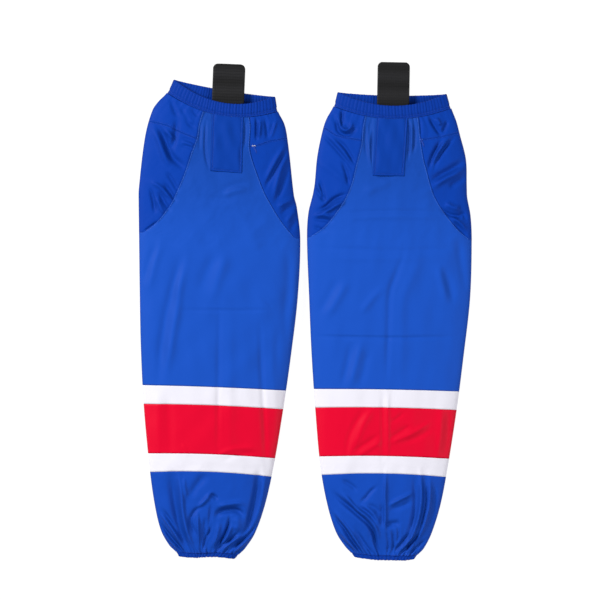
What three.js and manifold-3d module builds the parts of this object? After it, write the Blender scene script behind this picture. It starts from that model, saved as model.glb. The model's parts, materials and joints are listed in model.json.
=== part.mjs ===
// A pair of ice hockey socks, laid flat side by side, front faces up.
// Each sock is a footless knitted tube: gathered onto elastic at the ankle and at the thigh, with three
// sewn stripe bands, stretch gussets and yokes at the sides, and a hook-and-loop strap inside the mouth.
// Millimetres. X runs across the pair, Y from the ankles to the thighs, Z up from the surface they lie on.

import * as THREE from "three";
import { mergeVertices } from "three/addons/utils/BufferGeometryUtils.js";
import Module from "manifold-3d";

const wasm = await Module();
wasm.setup();

// ---------------------------------------------------------------- driving dimensions

const SOCK_LENGTH = 744; // ankle hem to thigh hem
const STRAP_WIDTH = 50; // two-inch webbing
const STRAP_REACH = 64; // free length of the strap above the mouth
const STRAP_THICK = 2;
const FABRIC = 1.2; // the knit with its nap, as one solid wall
const GAP = 0.3; // between pieces that meet

const CUFF_HEIGHT = 8;
const BAND_HEIGHT = 23;
const CASING = 0.8; // one layer of a turned hem
const CUFF_ELASTIC = 1.0;
const BAND_ELASTIC = 1.4;

const NARROW_STRIPE = 30;
const WIDE_STRIPE = 78;
const STRIPES_FROM = 132.5;

const GUSSET_TIP = 513; // where the side seams meet the fold at the side
const SEAM_TOP = 706; // the side seams run straight up above this
const SEAM_TOP_REACH = 39;
const SEAM_TIP_REACH = 126;
const SEAM_CURL = 2.2;
const YOKE_SEAM_SIDE = 684;
const YOKE_SEAM_DROP = 18;

const ANCHOR_LENGTH = 106; // strap stitched behind the front, 90 long once the mouth dips
const PATCH_THICK = 1.2;
const HOOK_PAD = { width: 44, length: 36, thick: 1.2, fromMouth: 24 };

const AROUND = 32; // facets round a ring
const GUSSET_ROWS = 8;
const YOKE_ROWS = 2;
const BAND_LOW = SOCK_LENGTH - BAND_HEIGHT;
const GUSSET_LOW = GUSSET_TIP + 4; // the gusset's blunt lower end

// The two socks. Each outline row is [distance from the ankle hem, left edge, right edge].
const LEFT = {
  name: "left",
  origin: [-157.6, 0],
  lean: 2.2, // degrees, the thigh end leaning to +X
  stretch: 1.008,
  mouthTilt: -0.12, // slope of the thigh hem across the sock
  frontDip: 22,
  backDip: 5,
  strapAt: 6.7,
  foldAt: 396, // the storage crease, near mid length
  outline: [
    [0, -46, 45],
    [8, -52, 52],
    [18, -62, 61],
    [45, -77, 76.5],
    [90, -89, 90],
    [150, -99, 100.5],
    [240, -110.5, 113.5],
    [330, -119, 123],
    [420, -124.5, 130],
    [510, -129, 129],
    [580, -131, 117],
    [650, -125.5, 106.5],
    [690, -115, 99],
    [721, -97, 87],
    [744, -91, 81],
  ],
};
const RIGHT = {
  name: "right",
  origin: [126.2, -1.6],
  lean: 1.0,
  stretch: 1.0,
  mouthTilt: 0,
  frontDip: 19,
  backDip: 4,
  strapAt: 1.5,
  foldAt: 356,
  outline: [
    [0, -48.5, 49],
    [8, -55, 54.5],
    [18, -64, 63],
    [45, -79.5, 75.5],
    [90, -94, 88.5],
    [150, -105, 99],
    [240, -116, 111.5],
    [330, -123, 121.5],
    [420, -128.5, 129.5],
    [510, -132.5, 130],
    [580, -127, 122],
    [640, -120, 119.5],
    [680, -113, 110],
    [721, -92.7, 93],
    [744, -86, 85.5],
  ],
};

// How high the flattened tube stands along its length, as [distance from the ankle hem, height].
const LOFT = [
  [0, 13],
  [8, 13],
  [60, 20],
  [200, 23],
  [420, 24],
  [640, 23.5],
  [700, 21.5],
  [721, 19],
  [744, 18],
];
const SIDE_FOLD = 0.35; // height of the side folds, as a share of the loft
const TOP_FULLNESS = 0.8; // below 1 the front is flatter than half an ellipse
const FLAT_BOTTOM = 0.8; // share of the width that lies on the surface

const COLOURS = {
  blue: { color: 0x1f54c3, roughness: 0.62, metalness: 0 },
  stretchBlue: { color: 0x1545b1, roughness: 0.5, metalness: 0 },
  white: { color: 0xf1effa, roughness: 0.62, metalness: 0 },
  red: { color: 0xe70935, roughness: 0.6, metalness: 0 },
  webbing: { color: 0x28282a, roughness: 0.8, metalness: 0 },
  hook: { color: 0x1c1c1e, roughness: 0.7, metalness: 0 },
  elastic: { color: 0xe8e6e0, roughness: 0.85, metalness: 0 },
};

// ---------------------------------------------------------------- small helpers

function smooth(from, to, value) {
  return THREE.MathUtils.smoothstep(value, from, to);
}

// Reads one column of a table with a smooth curve through its rows.
function along(table, column, s) {
  const last = table.length - 1;
  let i = 0;
  while (i < last - 1 && s > table[i + 1][0]) i += 1;
  const slope = (k) => {
    const a = table[Math.max(k - 1, 0)];
    const b = table[Math.min(k + 1, last)];
    return (b[column] - a[column]) / (b[0] - a[0]);
  };
  const [p, q] = [table[i], table[i + 1]];
  const span = q[0] - p[0];
  const u = (s - p[0]) / span;
  const rise = q[column] - p[column];
  const bend = (slope(i) * span - rise) * (1 - u) - (slope(i + 1) * span - rise) * u;
  return p[column] + rise * u + bend * u * (1 - u);
}

// A point of the tube. s is the distance from the ankle hem, and turn goes once round: 0 is the left side
// fold, 0.25 the middle of the front, 0.5 the right side fold and 0.75 the middle of the back.
// inset is the depth below the outer face.
function tubePoint(sock, s, turn, inset) {
  const left = along(sock.outline, 1, s);
  const right = along(sock.outline, 2, s);
  const loft = along(LOFT, 1, s);
  const side = SIDE_FOLD * loft;
  const angle = turn * 2 * Math.PI;
  const across = -Math.cos(angle);
  const x = (left + right) / 2 + ((right - left) / 2 - inset) * across;
  const front = Math.sin(angle) >= 0;
  let z = side + (loft - inset - side) * Math.pow(Math.abs(Math.sin(angle)), TOP_FULLNESS);
  if (!front) {
    const curl = Math.max(0, (Math.abs(across) - FLAT_BOTTOM) / (1 - FLAT_BOTTOM));
    z = side - (side - inset) * Math.sqrt(Math.max(0, 1 - curl * curl));
  }
  const dip = (front ? sock.frontDip : sock.backDip) * smooth(600, SOCK_LENGTH, s);
  const tilt = sock.mouthTilt * smooth(560, 700, s);
  const y = s * sock.stretch + tilt * x - dip * (1 - across * across);
  return new THREE.Vector3(x, y, z);
}

// The turn at which the front of the tube is at a given x.
function turnAt(sock, s, x) {
  const left = along(sock.outline, 1, s);
  const right = along(sock.outline, 2, s);
  const across = ((left + right) / 2 - x) / ((right - left) / 2);
  return Math.acos(THREE.MathUtils.clamp(across, -1, 1)) / (2 * Math.PI);
}

function steps(from, to, longest) {
  const count = Math.max(1, Math.ceil(Math.abs(to - from) / longest));
  return Array.from({ length: count + 1 }, (_, i) => from + ((to - from) * i) / count);
}

function pick(levels, share) {
  return levels[Math.round(share * (levels.length - 1))];
}

// A wall between an outer and an inner grid of points, closed along all its edges.
// With wrap, the last column joins the first and the wall is a ring.
function wall(outer, inner, wrap) {
  const rows = outer.length;
  const columns = outer[0].length;
  const points = [...outer.flat(), ...inner.flat()];
  const at = (side, row, column) => side * rows * columns + row * columns + (column % columns);
  const faces = [];
  const quad = (a, b, c, d) => faces.push(a, b, c, a, c, d);
  const spans = wrap ? columns : columns - 1;
  for (let r = 0; r < rows - 1; r += 1) {
    for (let c = 0; c < spans; c += 1) {
      quad(at(0, r, c), at(0, r, c + 1), at(0, r + 1, c + 1), at(0, r + 1, c));
      quad(at(1, r, c), at(1, r + 1, c), at(1, r + 1, c + 1), at(1, r, c + 1));
    }
  }
  for (let c = 0; c < spans; c += 1) {
    quad(at(0, 0, c), at(1, 0, c), at(1, 0, c + 1), at(0, 0, c + 1));
    quad(at(0, rows - 1, c), at(0, rows - 1, c + 1), at(1, rows - 1, c + 1), at(1, rows - 1, c));
  }
  if (!wrap) {
    for (let r = 0; r < rows - 1; r += 1) {
      quad(at(0, r, 0), at(0, r + 1, 0), at(1, r + 1, 0), at(1, r, 0));
      const end = columns - 1;
      quad(at(0, r, end), at(1, r, end), at(1, r + 1, end), at(0, r + 1, end));
    }
  }
  const geometry = new THREE.BufferGeometry();
  geometry.setAttribute("position", new THREE.Float32BufferAttribute(points.flatMap((p) => p.toArray()), 3));
  geometry.setIndex(faces);
  return geometry;
}

// A ring of the tube between two distances from the ankle hem.
function ring(sock, from, to, { longest = 40, outer = 0, inner = FABRIC } = {}) {
  const turns = Array.from({ length: AROUND }, (_, i) => i / AROUND);
  const layer = (inset) =>
    steps(from, to, longest).map((s) => turns.map((turn) => tubePoint(sock, s, turn, inset)));
  return wall(layer(outer), layer(inner), true);
}

// A part of the tube's wall that doesn't go all round. place(row, column) gives [s, turn], both from 0 to 1.
function sheet(sock, rows, columns, place, outer, inner) {
  const layer = (depth) =>
    Array.from({ length: rows + 1 }, (_, r) =>
      Array.from({ length: columns + 1 }, (_, c) => {
        const [s, turn] = place(r / rows, c / columns);
        return tubePoint(sock, s, turn, typeof depth === "function" ? depth(s) : depth);
      }),
    );
  return wall(layer(outer), layer(inner), false);
}

function toSolid(geometry) {
  const bare = geometry.clone();
  bare.deleteAttribute("normal");
  bare.deleteAttribute("uv");
  const merged = mergeVertices(bare, 1e-3);
  return new wasm.Manifold(
    new wasm.Mesh({
      numProp: 3,
      vertProperties: new Float32Array(merged.attributes.position.array),
      triVerts: new Uint32Array(merged.index.array),
    }),
  );
}

function cut(geometry, ...tools) {
  let solid = toSolid(geometry);
  for (const tool of tools) solid = solid.subtract(toSolid(tool));
  const mesh = solid.getMesh();
  const result = new THREE.BufferGeometry();
  result.setAttribute("position", new THREE.BufferAttribute(mesh.vertProperties, 3));
  result.setIndex(new THREE.BufferAttribute(mesh.triVerts, 1));
  return result;
}

function piece(parent, name, finish, geometry) {
  geometry.computeVertexNormals();
  const mesh = new THREE.Mesh(geometry, new THREE.MeshStandardMaterial(COLOURS[finish]));
  mesh.name = name;
  parent.add(mesh);
  return mesh;
}

// ---------------------------------------------------------------- the ankle hem

// The leg's edge turned up over a narrow elastic: a channel that opens towards the leg.
function cuff(parent, sock) {
  const deep = 2 * CASING + 2 * GAP + CUFF_ELASTIC;
  const body = ring(sock, 0, CUFF_HEIGHT, { inner: deep });
  const channel = ring(sock, CASING, CUFF_HEIGHT + 1, { outer: CASING, inner: deep - CASING });
  piece(parent, `${sock.name}_cuff_casing`, "blue", cut(body, channel));
  const band = ring(sock, CASING + GAP, CUFF_HEIGHT - GAP, {
    outer: CASING + GAP,
    inner: CASING + GAP + CUFF_ELASTIC,
  });
  piece(parent, `${sock.name}_cuff_elastic`, "elastic", band);
}

// ---------------------------------------------------------------- the leg

// Bands of knit sewn end to end, from the ankle to the storage crease.
function leg(parent, sock) {
  const bands = [
    ["ankle_panel", "blue", STRIPES_FROM],
    ["lower_white_stripe", "white", STRIPES_FROM + NARROW_STRIPE],
    ["red_stripe", "red", STRIPES_FROM + NARROW_STRIPE + WIDE_STRIPE],
    ["upper_white_stripe", "white", STRIPES_FROM + 2 * NARROW_STRIPE + WIDE_STRIPE],
    ["shin_panel", "blue", sock.foldAt],
  ];
  let from = CUFF_HEIGHT;
  for (const [name, finish, to] of bands) {
    const longest = from < STRIPES_FROM ? 26 : 46;
    piece(parent, `${sock.name}_${name}`, finish, ring(sock, from + GAP / 2, to - GAP / 2, { longest }));
    from = to;
  }
}

// ---------------------------------------------------------------- the thigh

// How far the side seams stand from the middle line.
function seamReach(s) {
  const down = Math.max(0, (SEAM_TOP - s) / (SEAM_TOP - GUSSET_TIP));
  return SEAM_TOP_REACH + (SEAM_TIP_REACH - SEAM_TOP_REACH) * Math.pow(down, SEAM_CURL);
}

// Half the gusset's width as a turn, counted from its side fold, with the seam moved in by a margin.
function gussetTurn(sock, side, s, margin) {
  const reach = seamReach(s) - margin;
  return side < 0 ? turnAt(sock, s, -reach) : 0.5 - turnAt(sock, s, reach);
}

function gussetTurns(sock, side, s, share, margin = 0) {
  const half = gussetTurn(sock, side, s, margin) * share;
  return side < 0 ? half + 1 : 0.5 - half;
}

// share is 1 at the front seam, 0 on the side fold and -1 at the back seam.
function yokeSeam(share) {
  return YOKE_SEAM_SIDE - YOKE_SEAM_DROP * Math.abs(share);
}

function gussetRow(row, share) {
  return THREE.MathUtils.lerp(GUSSET_LOW, yokeSeam(share) - GAP / 2, row * row);
}

function yokeRow(row, share) {
  return THREE.MathUtils.lerp(yokeSeam(share) + GAP / 2, BAND_LOW - GAP / 2, row);
}

// The main panel, cut away at both sides for the gussets, which carry round onto the back.
function thighPanel(parent, sock) {
  const body = ring(sock, sock.foldAt + GAP / 2, BAND_LOW - GAP / 2, { longest: 36 });
  const levels = [GUSSET_LOW - GAP];
  for (let i = 0; i <= GUSSET_ROWS; i += 1) levels.push(gussetRow(i / GUSSET_ROWS, 1));
  for (let i = 0; i <= YOKE_ROWS; i += 1) levels.push(yokeRow(i / YOKE_ROWS, 1));
  levels.push(BAND_LOW + 3);
  const openings = [-1, 1].map((side) => {
    const place = (row, column) => {
      const s = pick(levels, row);
      return [s, gussetTurns(sock, side, Math.max(s, GUSSET_LOW), side * (1 - 2 * column), 1.5 * GAP)];
    };
    return sheet(sock, levels.length - 1, 8, place, -2, FABRIC + 2);
  });
  piece(parent, `${sock.name}_thigh_panel`, "blue", cut(body, ...openings));
}

function sidePanels(parent, sock, side, name) {
  const shareOf = (column) => side * (1 - 2 * column);
  const gusset = (row, column) => {
    const s = gussetRow(row, shareOf(column));
    return [s, gussetTurns(sock, side, s, shareOf(column))];
  };
  const yoke = (row, column) => {
    const s = yokeRow(row, shareOf(column));
    return [s, gussetTurns(sock, side, s, shareOf(column))];
  };
  const gussetWall = sheet(sock, GUSSET_ROWS, 10, gusset, 0, FABRIC);
  const yokeWall = sheet(sock, YOKE_ROWS, 10, yoke, 0, FABRIC);
  piece(parent, `${sock.name}_${name}_gusset`, "stretchBlue", gussetWall);
  piece(parent, `${sock.name}_${name}_yoke`, "stretchBlue", yokeWall);
}

// ---------------------------------------------------------------- the thigh hem

// The waist-like hem: knit turned down over a wide elastic, in a channel that opens towards the leg.
function thighBand(parent, sock) {
  const deep = 2 * CASING + 2 * GAP + BAND_ELASTIC;
  const body = ring(sock, BAND_LOW + GAP / 2, SOCK_LENGTH, { inner: deep });
  const channel = ring(sock, BAND_LOW - 1, SOCK_LENGTH - CASING, { outer: CASING, inner: deep - CASING });
  piece(parent, `${sock.name}_band_casing`, "stretchBlue", cut(body, channel));
  const elastic = ring(sock, BAND_LOW + 2 * GAP, SOCK_LENGTH - CASING - GAP, {
    outer: CASING + GAP,
    inner: CASING + GAP + BAND_ELASTIC,
  });
  piece(parent, `${sock.name}_band_elastic`, "elastic", elastic);
  return deep;
}

// ---------------------------------------------------------------- the strap

// Webbing stitched flat behind the front, coming up through the mouth; a patch covers the stitching.
function strap(parent, sock, bandDepth) {
  const half = STRAP_WIDTH / 2;
  const lowest = BAND_LOW - ANCHOR_LENGTH;
  const depth = (s) => (s < BAND_LOW - 10 ? FABRIC : bandDepth) + 2 * GAP;
  const strip = (levels, reach) => (row, column) => {
    const s = pick(levels, row);
    return [s, turnAt(sock, s, sock.strapAt + reach * (2 * column - 1))];
  };
  const under = (s) => depth(s) + STRAP_THICK;
  const bend = [BAND_LOW - 18, BAND_LOW - 5, BAND_LOW + 10, SOCK_LENGTH];
  const behind = [...steps(lowest + 2, BAND_LOW - 36, 36), ...bend];
  const anchor = sheet(sock, behind.length - 1, 2, strip(behind, half), depth, under);
  piece(parent, `${sock.name}_strap_anchor`, "webbing", anchor);

  const over = steps(lowest, BAND_LOW - 1, 18);
  const patch = sheet(sock, over.length - 1, 3, strip(over, half + 1), -GAP - PATCH_THICK, -GAP);
  piece(parent, `${sock.name}_strap_patch`, "blue", patch);

  const edge = [-half, 0, half].map((reach) => {
    const turn = turnAt(sock, SOCK_LENGTH, sock.strapAt + reach);
    return tubePoint(sock, SOCK_LENGTH, turn, depth(SOCK_LENGTH));
  });
  const top = Math.max(...edge.map((point) => point.y)) + GAP;
  const level = Math.min(...edge.map((point) => point.z));
  const corner = 8;
  const outline = new THREE.Shape();
  outline.moveTo(-half, 0);
  outline.lineTo(half, 0);
  outline.lineTo(half, STRAP_REACH - corner);
  outline.absarc(half - corner, STRAP_REACH - corner, corner, 0, Math.PI / 2);
  outline.lineTo(-half + corner, STRAP_REACH);
  outline.absarc(-half + corner, STRAP_REACH - corner, corner, Math.PI / 2, Math.PI);
  outline.closePath();
  const flat = { depth: STRAP_THICK, bevelEnabled: false, curveSegments: 5 };
  const tab = new THREE.ExtrudeGeometry(outline, flat);
  const tabMesh = piece(parent, `${sock.name}_strap_tab`, "webbing", tab);
  tabMesh.position.set(sock.strapAt, top, level - STRAP_THICK);

  const pad = new THREE.BoxGeometry(HOOK_PAD.width, HOOK_PAD.length, HOOK_PAD.thick);
  const padMesh = piece(parent, `${sock.name}_hook_pad`, "hook", pad);
  padMesh.position.set(
    sock.strapAt,
    top + HOOK_PAD.fromMouth + HOOK_PAD.length / 2,
    level - STRAP_THICK - GAP - HOOK_PAD.thick / 2,
  );
}

// ---------------------------------------------------------------- the pair

function makeSock(sock) {
  const group = new THREE.Group();
  cuff(group, sock);
  leg(group, sock);
  thighPanel(group, sock);
  sidePanels(group, sock, -1, sock.name === "left" ? "outer" : "inner");
  sidePanels(group, sock, 1, sock.name === "left" ? "inner" : "outer");
  strap(group, sock, thighBand(group, sock));
  group.rotation.z = -THREE.MathUtils.degToRad(sock.lean);
  group.position.set(sock.origin[0], sock.origin[1], 0);
  return group;
}

const pair = new THREE.Group();
pair.add(makeSock(LEFT), makeSock(RIGHT));

// The origin is on the surface, under the middle of the pair.
pair.updateMatrixWorld(true);
const extent = new THREE.Box3().setFromObject(pair, true);
pair.position.set(
  -(extent.min.x + extent.max.x) / 2,
  -(extent.min.y + extent.max.y) / 2,
  -extent.min.z,
);

export default pair;
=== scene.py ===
import json
import math

import bpy
import numpy as np
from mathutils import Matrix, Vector


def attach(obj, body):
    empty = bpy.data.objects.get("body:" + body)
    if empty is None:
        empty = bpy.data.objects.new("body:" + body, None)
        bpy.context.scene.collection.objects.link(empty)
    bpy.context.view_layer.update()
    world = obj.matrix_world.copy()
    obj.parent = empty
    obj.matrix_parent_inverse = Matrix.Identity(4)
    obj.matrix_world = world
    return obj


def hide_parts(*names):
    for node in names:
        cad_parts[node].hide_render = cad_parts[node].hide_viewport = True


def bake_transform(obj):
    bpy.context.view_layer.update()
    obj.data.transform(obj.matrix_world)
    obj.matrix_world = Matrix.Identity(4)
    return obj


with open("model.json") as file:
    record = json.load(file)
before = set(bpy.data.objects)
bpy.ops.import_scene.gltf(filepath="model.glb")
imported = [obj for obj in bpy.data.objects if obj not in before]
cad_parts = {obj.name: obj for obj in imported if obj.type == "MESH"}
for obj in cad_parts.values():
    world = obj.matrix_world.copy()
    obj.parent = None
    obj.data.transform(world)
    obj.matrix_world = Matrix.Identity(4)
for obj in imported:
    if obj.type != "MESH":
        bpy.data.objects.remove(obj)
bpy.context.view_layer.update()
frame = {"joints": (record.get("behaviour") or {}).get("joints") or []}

# A pair of footless hockey socks laid flat, front faces up. Sizes along and across a sock are in
# millimetres, in the sock's own frame: u to its right, v from the ankle hem to the thigh hem, z up.


# ---------------------------------------------------------------- the leg
# Each leg is a tube of polyester knit about 260 wide laid flat: an ankle panel, three stripe bands and one
# long blue main panel, cut and sewn end to end. It was folded in store and is gathered at both hems, so the
# front layer carries creases and drapes over the back one.

MM = 0.001
SOCK_LENGTH = 744
BAND_LOW = 721  # where the thigh hem's casing begins
CUFF_HEIGHT = 8
KNIT_THICK = 0.9
STRIPES = (134.5, 163.7, 241.4, 270.9)  # the four edges of the bands
GUSSET_TIP = 511
LOFT = [(0, 13), (8, 13), (60, 20), (200, 23), (420, 24), (640, 23.5), (700, 21.5), (721, 19), (744, 18)]
SIDE_FOLD = 0.35  # height of the side folds, as a share of the loft
FLAT_BACK = 0.8  # share of the width that lies on the floor
STRIPE_ARCH = 3.3  # how far the bands bow towards the thigh in mid leg
LOW_ARCH = 1.6  # how much more their lowest edge bows
SEAM_STEP = 0.5  # how far the main panel stands proud beside a gusset seam, and the gusset lies low
SEAM_TURN = 8  # cloth that the turn at the two side folds takes

# For each sock: where it folds, how its hems dip and wave, how far its strap stands out and leans, where the
# cloth under its patch is held (left, right, low), its outline (distance from the ankle hem, left edge, right
# edge), its seams, and its folds: each is a depth, a width at each end, and the points that it runs through.
LEFT = {
    "name": "left",
    "sides": {-1: "outer", 1: "inner"},
    "fold": 399.2,
    "stretch": 1.012,
    "tilt": -0.13,
    "front_dip": 24.2,
    "back_dip": 3,
    "hem": [(-1, 2.6), (-0.75, 1.6), (-0.35, 1.6), (0, 3.4), (0.35, 4.2), (0.7, 3.2), (1, 1.6)],
    "reach": 58.4,
    "lean": (1.0, 2.0),
    "patch": (-17, 35, 613),
    "strap": 6.7,
    "outline": [
        (0, -45, 45), (8, -50, 52), (18, -60, 61), (45, -75, 76.5), (90, -87.1, 90.5), (150, -97.4, 101.7),
        (240, -109.3, 113.5), (330, -117.3, 123), (420, -122.6, 130), (510, -127.2, 130.4),
        (560, -129.8, 123), (580, -130.2, 117.5), (650, -123.6, 108.3), (690, -113.4, 101.9),
        (705, -104.6, 97.2), (721, -91.8, 87.5), (744, -82, 82),
    ],
    "seams": {
        -1: [(-126, 514), (-102, 531), (-86.5, 550), (-73, 573), (-58, 612), (-49, 643), (-40, 672),
             (-33, 712)],
        1: [(125, 515), (102, 539), (85, 563), (71.5, 585), (60, 611), (49, 639), (44, 661), (42, 706)],
    },
    "yokes": {-1: [(-118, 695), (-88, 689), (-67, 679), (-42, 670)], 1: [(102, 676), (76, 670), (50, 660)]},
    "folds": [
        # the yokes, beside the patch
        (-2.2, 3, 4, [(-85, 732), (-78, 714), (-71, 701)]),
        (-2.4, 3, 4, [(-69, 720), (-59, 706), (-52, 692), (-41, 686)]),
        (1.6, 3, 4, [(-64, 717), (-54, 698), (-45, 692)]),
        (-1.6, 2.5, 3, [(-49, 716), (-40, 704)]),
        (-1.5, 2.5, 3, [(36, 702), (36, 655)]),
        (-1.8, 3, 3.5, [(80, 700), (75, 678)]),
        (-2, 2.2, 2.6, [(-27, 699), (-26, 651), (-18, 617)]),
        (-1.4, 2.4, 3, [(-36, 698), (-35, 648)]),
        (-1.3, 1.8, 1.8, [(-62, 396), (-22, 397), (38, 399), (97, 402)]),
        (-1.1, 1.4, 1.4, [(71, 421), (81, 414), (91, 405)]),
        # the gussets, and along the patch
        (-5.2, 4, 6, [(-106, 692), (-94, 673), (-87, 656), (-79, 640), (-67, 629), (-51, 617)]),
        (4.5, 4, 6, [(-111, 685), (-101, 665), (-93, 646), (-81, 622)]),
        (-3.6, 4, 4, [(-74, 700), (-74, 680), (-77, 661), (-80, 648)]),
        (3.2, 3, 3, [(-91, 682), (-83, 674), (-76, 665)]),
        (-1.3, 2.4, 2.4, [(-65, 670), (-54, 667), (-41, 661)]),
        (-1.3, 2.4, 2.4, [(-66, 657), (-55, 656), (-44, 652)]),
        (1.7, 2.4, 2.4, [(-65, 664), (-54, 661), (-42, 657)]),
        (-3.6, 3, 3, [(-112, 590), (-106, 569), (-102, 547)]),
        (-3.6, 3, 3, [(-98, 584), (-87, 565), (-76, 551)]),
        (-3.2, 3, 3, [(-91, 598), (-78, 581), (-67, 566)]),
        (-2.8, 3, 3, [(-87, 616), (-75, 599), (-65, 582)]),
        (3.5, 3, 3, [(-112, 599), (-94, 589), (-75, 569)]),
        (3, 3, 3, [(-101, 574), (-93, 557), (-87, 547)]),
        (-2, 2, 2, [(-122, 517), (-110, 526), (-97, 536)]),
        (-3.3, 2.2, 2.4, [(53, 707), (54, 689), (55, 668)]),
        (2.6, 2.6, 2.6, [(60, 704), (59, 689), (58, 672)]),
        (-2.4, 2.6, 2.6, [(67, 707), (70, 690), (72, 672)]),
        (2.4, 2.6, 2.6, [(86, 706), (81, 690), (77, 675)]),
        (3.4, 4, 4, [(102, 666), (87, 640), (71, 604)]),
        (-3, 3.4, 3.4, [(105, 660), (92, 637), (78, 610), (71, 590)]),
        (3, 4, 4, [(109, 655), (97, 631), (90, 605), (85, 578)]),
        (-3, 4, 4, [(111, 644), (106, 620), (97, 593), (87, 570)]),
        (3.4, 3.4, 3.4, [(124, 581), (107, 575), (91, 564)]),
        (-2.7, 3.4, 3.4, [(126, 573), (111, 566), (97, 554)]),
        (3, 4, 4, [(127, 563), (116, 555), (107, 540)]),
        (-2.4, 4, 4, [(129, 551), (121, 541), (112, 527)]),
        # the main panel and the stripes
        (-1.4, 6, 6, [(46, 604), (23, 597), (-1, 587)]),
        (1.7, 5, 5, [(43, 593), (22, 589), (5, 579)]),
        (-1.2, 6, 6, [(-21, 576), (3, 575), (28, 578)]),
        (2.2, 7, 7, [(-89, 509), (-101, 467), (-109, 422)]),
        (-2, 7, 7, [(-96, 502), (-109, 467), (-118, 434)]),
        (-2.4, 7, 7, [(-56, 488), (-70, 431), (-79, 383), (-85, 330), (-87, 269)]),
        (3, 7, 7, [(-48, 485), (-58, 432), (-60, 400), (-68, 343), (-75, 279)]),
        (2.6, 9, 9, [(14, 490), (-0, 438), (-8, 406)]),
        (-1.8, 9, 9, [(-4, 489), (-17, 457), (-28, 421)]),
        (-1.5, 7, 7, [(111, 510), (114, 447), (111, 398), (114, 357)]),
        (1.9, 7, 7, [(128, 495), (125, 415), (121, 335)]),
        (-0.7, 6, 6, [(100, 382), (100, 334), (99, 280)]),
        (1.6, 8, 8, [(-87, 266), (-85, 214), (-81, 157)]),
        (-1.3, 7, 7, [(-70, 263), (-66, 215), (-61, 155)]),
        (-1.4, 4, 4, [(6, 411), (8, 339), (10, 251), (13, 163)]),
        (1, 8, 8, [(25, 411), (26, 339), (28, 251), (32, 163)]),
        (-2, 4.5, 4.5, [(71, 390), (76, 318), (83, 238), (91, 142)]),
        (1.4, 8, 8, [(89, 389), (94, 317), (103, 238), (110, 142)]),
        (1.4, 3, 3, [(7, 165), (31, 177), (53, 181), (76, 180)]),
        (-1.1, 3, 3, [(20, 158), (39, 168), (60, 172), (76, 171)]),
        (1, 3, 3, [(-46, 185), (-40, 176), (-33, 164)]),
        # the ankle
        (-6.1, 8, 4, [(-61, 142), (-56, 104), (-50, 72), (-44, 48), (-35, 25), (-27, 8)]),
        (4.3, 4, 3, [(-49, 140), (-43, 105), (-39, 73), (-31, 42), (-22, 21), (-15, 10)]),
        (-3, 7, 6, [(-3, 138), (-18, 120), (-30, 98)]),
        (2.4, 2.6, 2.6, [(-40, 131), (-38, 115), (-34, 96)]),
        (3.8, 3, 3, [(6, 109), (-6, 94), (-17, 82)]),
        (-3.4, 3, 3, [(-7, 88), (-21, 77), (-27, 63), (-23, 49), (-15, 36)]),
        (-4.2, 3, 3, [(0, 102), (8, 103), (15, 96)]),
        (3.3, 2, 2, [(-16, 78), (-14, 46), (-11, 14)]),
        (-3.8, 2, 2, [(8, 61), (3, 44), (-3, 31), (-5, 10)]),
        (-2.7, 2.6, 2.6, [(5, 91), (4, 69), (2, 46)]),
        (-3, 3.4, 3, [(-3, 70), (-4, 49), (-5, 27)]),
        (-6.5, 4.4, 4.4, [(12, 67), (19, 77), (31, 80), (43, 81), (51, 78), (58, 69)]),
        (3.3, 3.4, 3.4, [(14, 87), (33, 91), (49, 93), (60, 89)]),
        (2.8, 6, 6, [(43, 71), (48, 60), (45, 47)]),
        (-4.6, 2.4, 2.4, [(35, 75), (34, 61), (29, 44), (22, 31), (13, 15)]),
        (3.1, 4, 3, [(19, 63), (16, 40), (8, 18)]),
        (2.8, 3, 2.4, [(40, 59), (31, 36), (21, 20)]),
        (-3.4, 2.4, 2.4, [(52, 47), (38, 35), (25, 25), (14, 12)]),
        (3.1, 2.4, 2.4, [(57, 42), (39, 29), (24, 14)]),
        (-5.7, 5.5, 4, [(79, 148), (77, 118), (73, 93), (69, 74), (64, 53), (55, 38)]),
        (4.3, 5.5, 4, [(89, 142), (87, 107), (82, 78), (73, 55)]),
        (-4.9, 2.6, 2.6, [(80, 62), (68, 44), (54, 31), (37, 16)]),
        (3.1, 3, 2.6, [(73, 43), (56, 24), (40, 11)]),
        (-3, 3, 3, [(64, 26), (51, 15), (39, 6)]),
        (-2.8, 2.6, 2.6, [(-74, 79), (-59, 60), (-46, 40)]),
        (3.6, 2.6, 2.6, [(-77, 72), (-59, 51), (-40, 24)]),
        (-4.9, 2.8, 2.8, [(-78, 58), (-62, 39), (-47, 22), (-33, 8)]),
        (3.1, 2.6, 2.6, [(-73, 45), (-60, 28), (-43, 10)]),
        (-3, 2.6, 2.6, [(-70, 34), (-55, 19), (-40, 5)]),
    ],
}
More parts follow.
